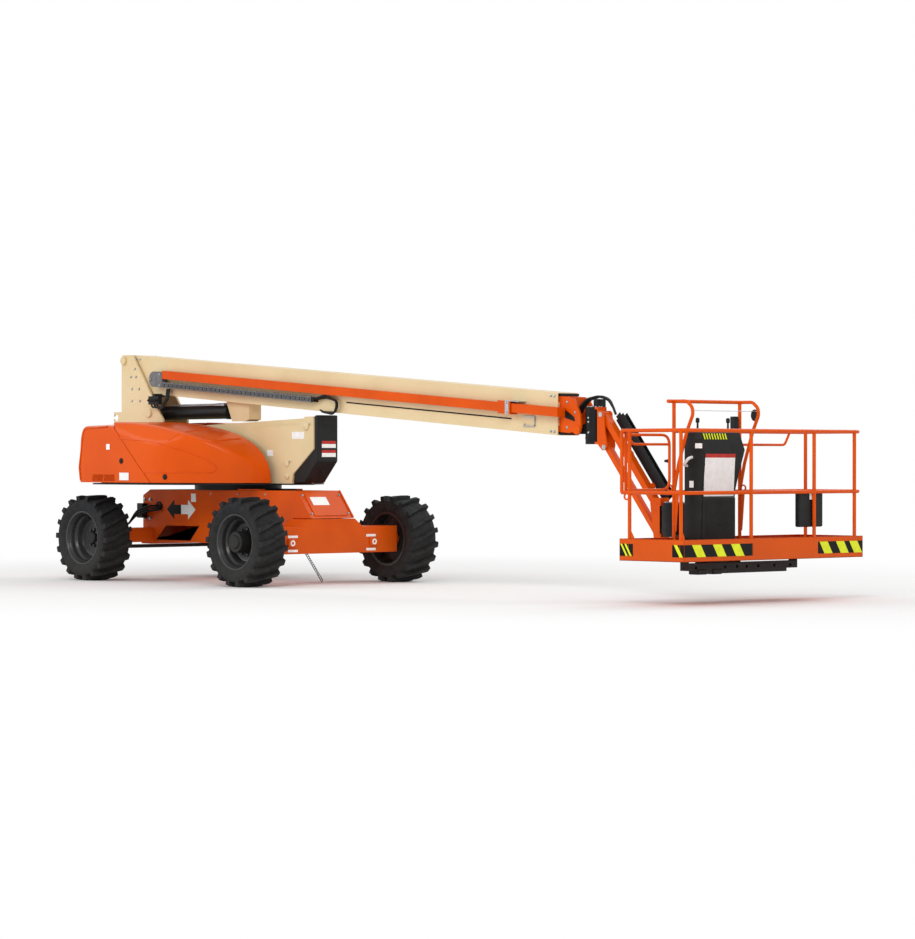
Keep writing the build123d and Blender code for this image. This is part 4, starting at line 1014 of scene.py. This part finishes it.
corner = 0.07
posts = ((back + 0.095, -half), (front - 0.035, -half), (front, -0.318), (front, 0.543),
         (front, half - 0.088), (back + 0.085, half))
tubes = []
for height in (mid_rail, top_rail):
    loop = ((back, guard_low, height), (back, half, height), (front, half, height), (front, -half, height),
            (back, -half, height))
    tubes.append(tube(run(*loop), rail, corner, 20))
tubes += [tube(run((x, y, floor_low + 0.004), (x, y, top_rail)), rail, 0.0, 20) for x, y in posts]
tubes += [tube(run((back, y, floor_low + 0.004), (back, y, guard_top)), rail, 0.0, 20)
          for y in (guard_low, guard_high)]
tubes.append(tube(run((back, guard_low - 0.08, guard_top), (back, guard_high + 0.01, guard_top)), rail, 0.0,
                  20))
tubes.append(tube(run((back, -half, mid_rail), (back, -half, top_rail)), rail, 0.0, 20))
hand_bar = run((back, guard_high, hand_rail), (back, 1.0, hand_rail), (back, 1.075, top_rail))
tubes.append(tube(hand_bar, 0.012, 0.06, 20))
finished("platform_rails", joined(tubes), orange_enamel, "platform")
hoop_path = ((0, guard_top), (0.16, guard_top), (0.225, 1.765), (0.232, 1.70), (0.16, 1.55), (0.06, 1.26),
             (0.0, mid_rail))
hoops = [tube(run(*[(back + x, y, z) for x, z in hoop_path]), 0.016, 0.09, 20)
         for y in (guard_low, guard_high)]
finished("guard_hoops", joined(hoops), orange_enamel, "platform")
gussets = [plate(((x, toe_top - 0.006), (x + reach, toe_top - 0.006), (x, toe_top + 0.074)), -half - 0.003,
                 -half + 0.003)
           for x, reach in ((back + 0.112, 0.05), (front - 0.018, 0.032))]
gussets += [plate(((back + 0.015, 0.64), (back + 0.015, 0.98), (back + 0.06, 0.98), (back + 0.03, 0.64)),
                  y - 0.004, y + 0.004) for y in (guard_low, guard_high)]
finished("platform_gussets", joined(gussets), orange_enamel, "platform", ease=0.001)
eyes = [moved(hoop(-0.006, 0.006, 0.022, 0.034, "y", 24), at(*place))
        for place in ((back + 0.06, -half, 0.965), (back - 0.03, guard_low - 0.02, 1.035),
                      (back + 0.045, guard_high, 1.03))]
finished("harness_eyes", joined(eyes), orange_enamel, "platform")
teardrop = [(back + 0.165 + 0.045 * math.cos(math.radians(a)), 1.70 + 0.055 * math.sin(math.radians(a)))
            for a in range(0, 360, 24)]
finished("guard_plates", plate(teardrop, guard_high + 0.017, guard_high + 0.030), black_satin, "platform",
         ease=0.002)
finished("guard_wire", tube(run((back + 0.205, guard_low, 1.735), (back + 0.205, guard_high, 1.735)), 0.003),
         zinc, "platform")
finished("guard_switch", box(back - 0.03, back + 0.03, guard_high - 0.10, guard_high - 0.045, 1.567, 1.69),
         black_plastic, "platform", ease=0.005)

# Box on the front rail: a moulded black case with a blank plate.
finished("rail_box", box(front - 0.075, front - 0.018, 0.36, 0.69, 0.68, 1.0), black_plastic, "platform",
         ease=0.014)
stickers("rail_box_label", "platform", white_vinyl, (block_shape(0.50, 0.58, 0.93, 0.99),), "x",
         front - 0.0185, 1)

# Hazard bands along the toe boards: yellow and black vinyl, leaning like a backslash.
band_low, band_high, lean = 0.437, 0.545, 0.068


def hazard(name, across, level, start, end, facing, bars):
    """A black band from start to end along one toe board, with yellow bars told by start and width."""
    stickers(name + "_black", "platform", black_vinyl, (block_shape(start, end, band_low, band_high),),
             across, level, facing)
    shapes = [((low + lean, band_low), (low + lean + width, band_low), (low + width, band_high),
               (low, band_high)) for low, width in bars]
    stickers(name + "_yellow", "platform", yellow_vinyl, shapes, across, level + facing * film, facing)


near_bars = ((6.712, 0.022), (6.762, 0.022))
right_bars = ((-1.115, 0.113), (-0.844, 0.113), (-0.606, 0.113))
left_bars = ((0.60, 0.113), (0.83, 0.113), (1.02, 0.113))
hazard("hazard_near_back", "y", -half - toe, 6.705, 6.865, -1, near_bars)
hazard("hazard_near_front", "y", -half - toe, 7.34, 7.478, -1, ((7.36, 0.04),))
hazard("hazard_front_right", "x", front + toe, -1.21, -0.31, 1, right_bars)
hazard("hazard_front_left", "x", front + toe, 0.58, 1.21, 1, left_bars)
hazard("hazard_far_front", "y", half + toe, 7.34, 7.478, 1, ((7.36, 0.04),))

# Gate: bent tube on two hinge posts, with a hand rail across and a latch knob.
gate_hinge_y = 0.05 - half
gate_latch_y = guard_low - 0.06
gate_low_z = mid_rail + 0.02
gate_high_z = top_rail - 0.035
gate_bends = [((gate_hinge_y, gate_high_z), (gate_latch_y, gate_high_z), (gate_latch_y, gate_low_z),
               (gate_hinge_y, gate_low_z)), ((gate_hinge_y, gate_low_z - 0.0145),
                                             (gate_hinge_y, gate_high_z + 0.0145)),
              ((gate_hinge_y, hand_rail + 0.085), (gate_hinge_y + 0.10, hand_rail),
               (gate_latch_y, hand_rail))]
gate_frame = [tube(run(*[(back, y, z) for y, z in bends]), radius, bend, 20)
              for bends, radius, bend in zip(gate_bends, (0.013, 0.014, 0.012), (0.10, 0.0, 0.06))]
finished("gate_frame", joined(gate_frame), orange_enamel, "gate", ("gate",))
knob = moved(lathe([(-0.004, 0.0), (-0.004, 0.012), (0.018, 0.012), (0.022, 0.016), (0.034, 0.016),
                    (0.038, 0.010), (0.038, 0.0)], "x", 24), at(back - 0.05, gate_latch_y, 1.28))
finished("gate_knob", knob, black_plastic, "gate")

# Console: a tapered black moulded case with a sloping panel of switches, a lower pocket for the
# papers, a white grab handle and a tall blank instruction sheet.
eased_copies("platform", black_plastic, 0.018, "console")


console_front = ((6.935, 0.398), (6.960, 1.130), (6.980, 1.380), (6.930, 1.540))


def console_x(z):
    """The console's front face at a height."""
    for (low_x, low_z), (high_x, high_z) in zip(console_front, console_front[1:]):
        if z <= high_z:
            return low_x + (high_x - low_x) * (z - low_z) / (high_z - low_z)
    return console_front[-1][0]


def console_sheet(name, material, y_low, y_high, z_low, z_high, lift=0.002):
    """A flat sheet that lies on the console's front face."""
    low, high = console_x(z_low), console_x(z_high)
    face = ((low - 0.004, z_low), (low + lift, z_low), (high + lift, z_high), (high - 0.004, z_high))
    return finished(name, plate(face, y_low, y_high), material, "platform")


sheet_low, sheet_high = -0.385, 0.015
grey_vinyl = vinyl("grey_vinyl", "#C9CACB", "#BFC0C2", 30, 0.35)
orange_vinyl = vinyl("orange_vinyl", "#E06A32", "#D66029", 30, 0.35)
console_sheet("sheet_base", white_vinyl, sheet_low, sheet_high, 0.96, 1.345)
console_sheet("sheet_red_band", red_vinyl, sheet_low, sheet_high, 1.31, 1.345, 0.003)
console_sheet("sheet_orange_band", orange_vinyl, sheet_low, sheet_high, 1.235, 1.262, 0.003)
for i in range(9):
    console_sheet("sheet_line_%d" % (i + 1), grey_vinyl, sheet_low + 0.012,
                  sheet_high - 0.012 - 0.02 * (i % 3), 1.195 - 0.026 * i, 1.203 - 0.026 * i, 0.003)
console_near = -0.405
stickers("console_label", "platform", white_vinyl, (block_shape(6.87, 6.955, 1.395, 1.44),), "y",
         console_near)
stickers("console_side_label", "platform", white_vinyl, (block_shape(6.80, 6.85, 1.04, 1.10),), "y",
         console_near)
handle_out = console_near - 0.045
handle = tube(run((6.77, console_near + 0.01, 1.235), (6.77, handle_out, 1.245), (6.83, handle_out, 1.305),
                  (6.83, console_near + 0.01, 1.315)), 0.014, 0.03, 16)
finished("console_handle", handle, white_vinyl, "platform")
pocket_seam = box(6.984, 6.987, -0.385, 0.0, 0.90, 0.904)
finished("pocket_seam", pocket_seam, black_satin, "platform")
pull = box(6.984, 6.990, -0.23, -0.16, 0.70, 0.712)
finished("pocket_pull", pull, black_satin, "platform", ease=0.001)
for i in range(9):
    y = -0.375 + 0.036 * i
    guard_bar = plate(((6.935, 1.528), (6.955, 1.475), (6.958, 1.476), (6.938, 1.530)), y, y + 0.014)
    finished("panel_stripe_%d" % (i + 1), guard_bar, yellow_vinyl, "platform")
switch = [(-0.002, 0.0), (-0.002, 0.014), (0.006, 0.014), (0.008, 0.006), (0.030, 0.005), (0.034, 0.003),
          (0.034, 0.0)]
switches = [moved(lathe(switch, "z", 16), at(x, y, 1.54)) for x in (6.80, 6.87)
            for y in (-0.25, -0.19, -0.13, -0.07, -0.01)]
finished("panel_switches", joined(switches), zinc, "platform")
stick = [(-0.004, 0.0), (-0.004, 0.036), (0.004, 0.036), (0.022, 0.024), (0.026, 0.010), (0.085, 0.009),
         (0.09, 0.018), (0.125, 0.018), (0.132, 0.010), (0.132, 0.0)]
sticks = [moved(lathe(stick, "z", 24), at(6.83, y, 1.54)) for y in (-0.33, 0.08)]
finished("panel_sticks", joined(sticks), black_plastic, "platform")

# Studio: a white floor and surround, and three soft square lamps. The floor takes the object's soft
# shadow, and fades into plain white glow from 5.5 to 12 m out.
world = bpy.data.worlds.new("studio")
bpy.context.scene.world = world
world.use_nodes = True
sky = world.node_tree
sky.nodes.clear()
seen = node(sky, "ShaderNodeLightPath")
either = node(sky, "ShaderNodeMath", {0: seen.outputs["Is Camera Ray"], 1: seen.outputs["Is Glossy Ray"]},
              operation="MAXIMUM")
all_seen = node(sky, "ShaderNodeMath", {0: either.outputs[0], 1: seen.outputs["Is Transmission Ray"]},
                operation="MAXIMUM")
glow = node(sky, "ShaderNodeMapRange", {"Value": all_seen.outputs[0]})
glow.inputs["To Min"].default_value = 0.62
glow.inputs["To Max"].default_value = 1.0
backdrop = node(sky, "ShaderNodeBackground", {"Strength": glow.outputs["Result"]}, Color=srgb("#FFFFFF"))
node(sky, "ShaderNodeOutputWorld", {"Surface": backdrop.outputs["Background"]})

floor_mesh = bpy.data.meshes.new("floor")
reach = 400.0
floor_mesh.from_pydata([(-reach, -reach, 0), (reach, -reach, 0), (reach, reach, 0), (-reach, reach, 0)], [],
                       [(0, 1, 2, 3)])
floor = linked("floor", floor_mesh)
paper = bpy.data.materials.new("white_paper_floor")
paper.use_nodes = True
sheet = paper.node_tree
sheet.nodes.clear()
spot = node(sheet, "ShaderNodeTexCoord").outputs["Object"]
distance = node(sheet, "ShaderNodeVectorMath", {0: spot}, operation="LENGTH")
fade = node(sheet, "ShaderNodeMapRange", {"Value": distance.outputs["Value"]},
            interpolation_type="SMOOTHSTEP")
fade.inputs["From Min"].default_value = 5.5
fade.inputs["From Max"].default_value = 12.0
matt = node(sheet, "ShaderNodeBsdfDiffuse", Color=srgb("#FAFAFA"))
white = node(sheet, "ShaderNodeEmission", Color=(1.0, 1.0, 1.0, 1.0), Strength=1.0)
blend = node(sheet, "ShaderNodeMixShader", {0: fade.outputs["Result"], 1: matt.outputs["BSDF"],
                                            2: white.outputs["Emission"]})
node(sheet, "ShaderNodeOutputMaterial", {"Surface": blend.outputs["Shader"]})
floor_mesh.materials.append(paper)

lamp_size = 9.0
for name, place, aim, power in (
    ("key", (14.0, -16.0, 14.0), (1.0, 0.0, 1.0), 1900.0),
    ("fill", (-12.0, -14.0, 9.0), (0.0, 0.0, 1.2), 700.0),
    ("back", (2.0, 16.0, 13.0), (0.0, 0.0, 1.2), 900.0),
):
    light = bpy.data.lights.new(name, "AREA")
    light.energy = power
    light.size = lamp_size
    lamp = linked(name, light)
    lamp.location = place
    lamp.rotation_euler = (Vector(aim) - Vector(place)).to_track_quat("-Z", "Y").to_euler()

bpy.context.scene.view_settings.view_transform = "Standard"
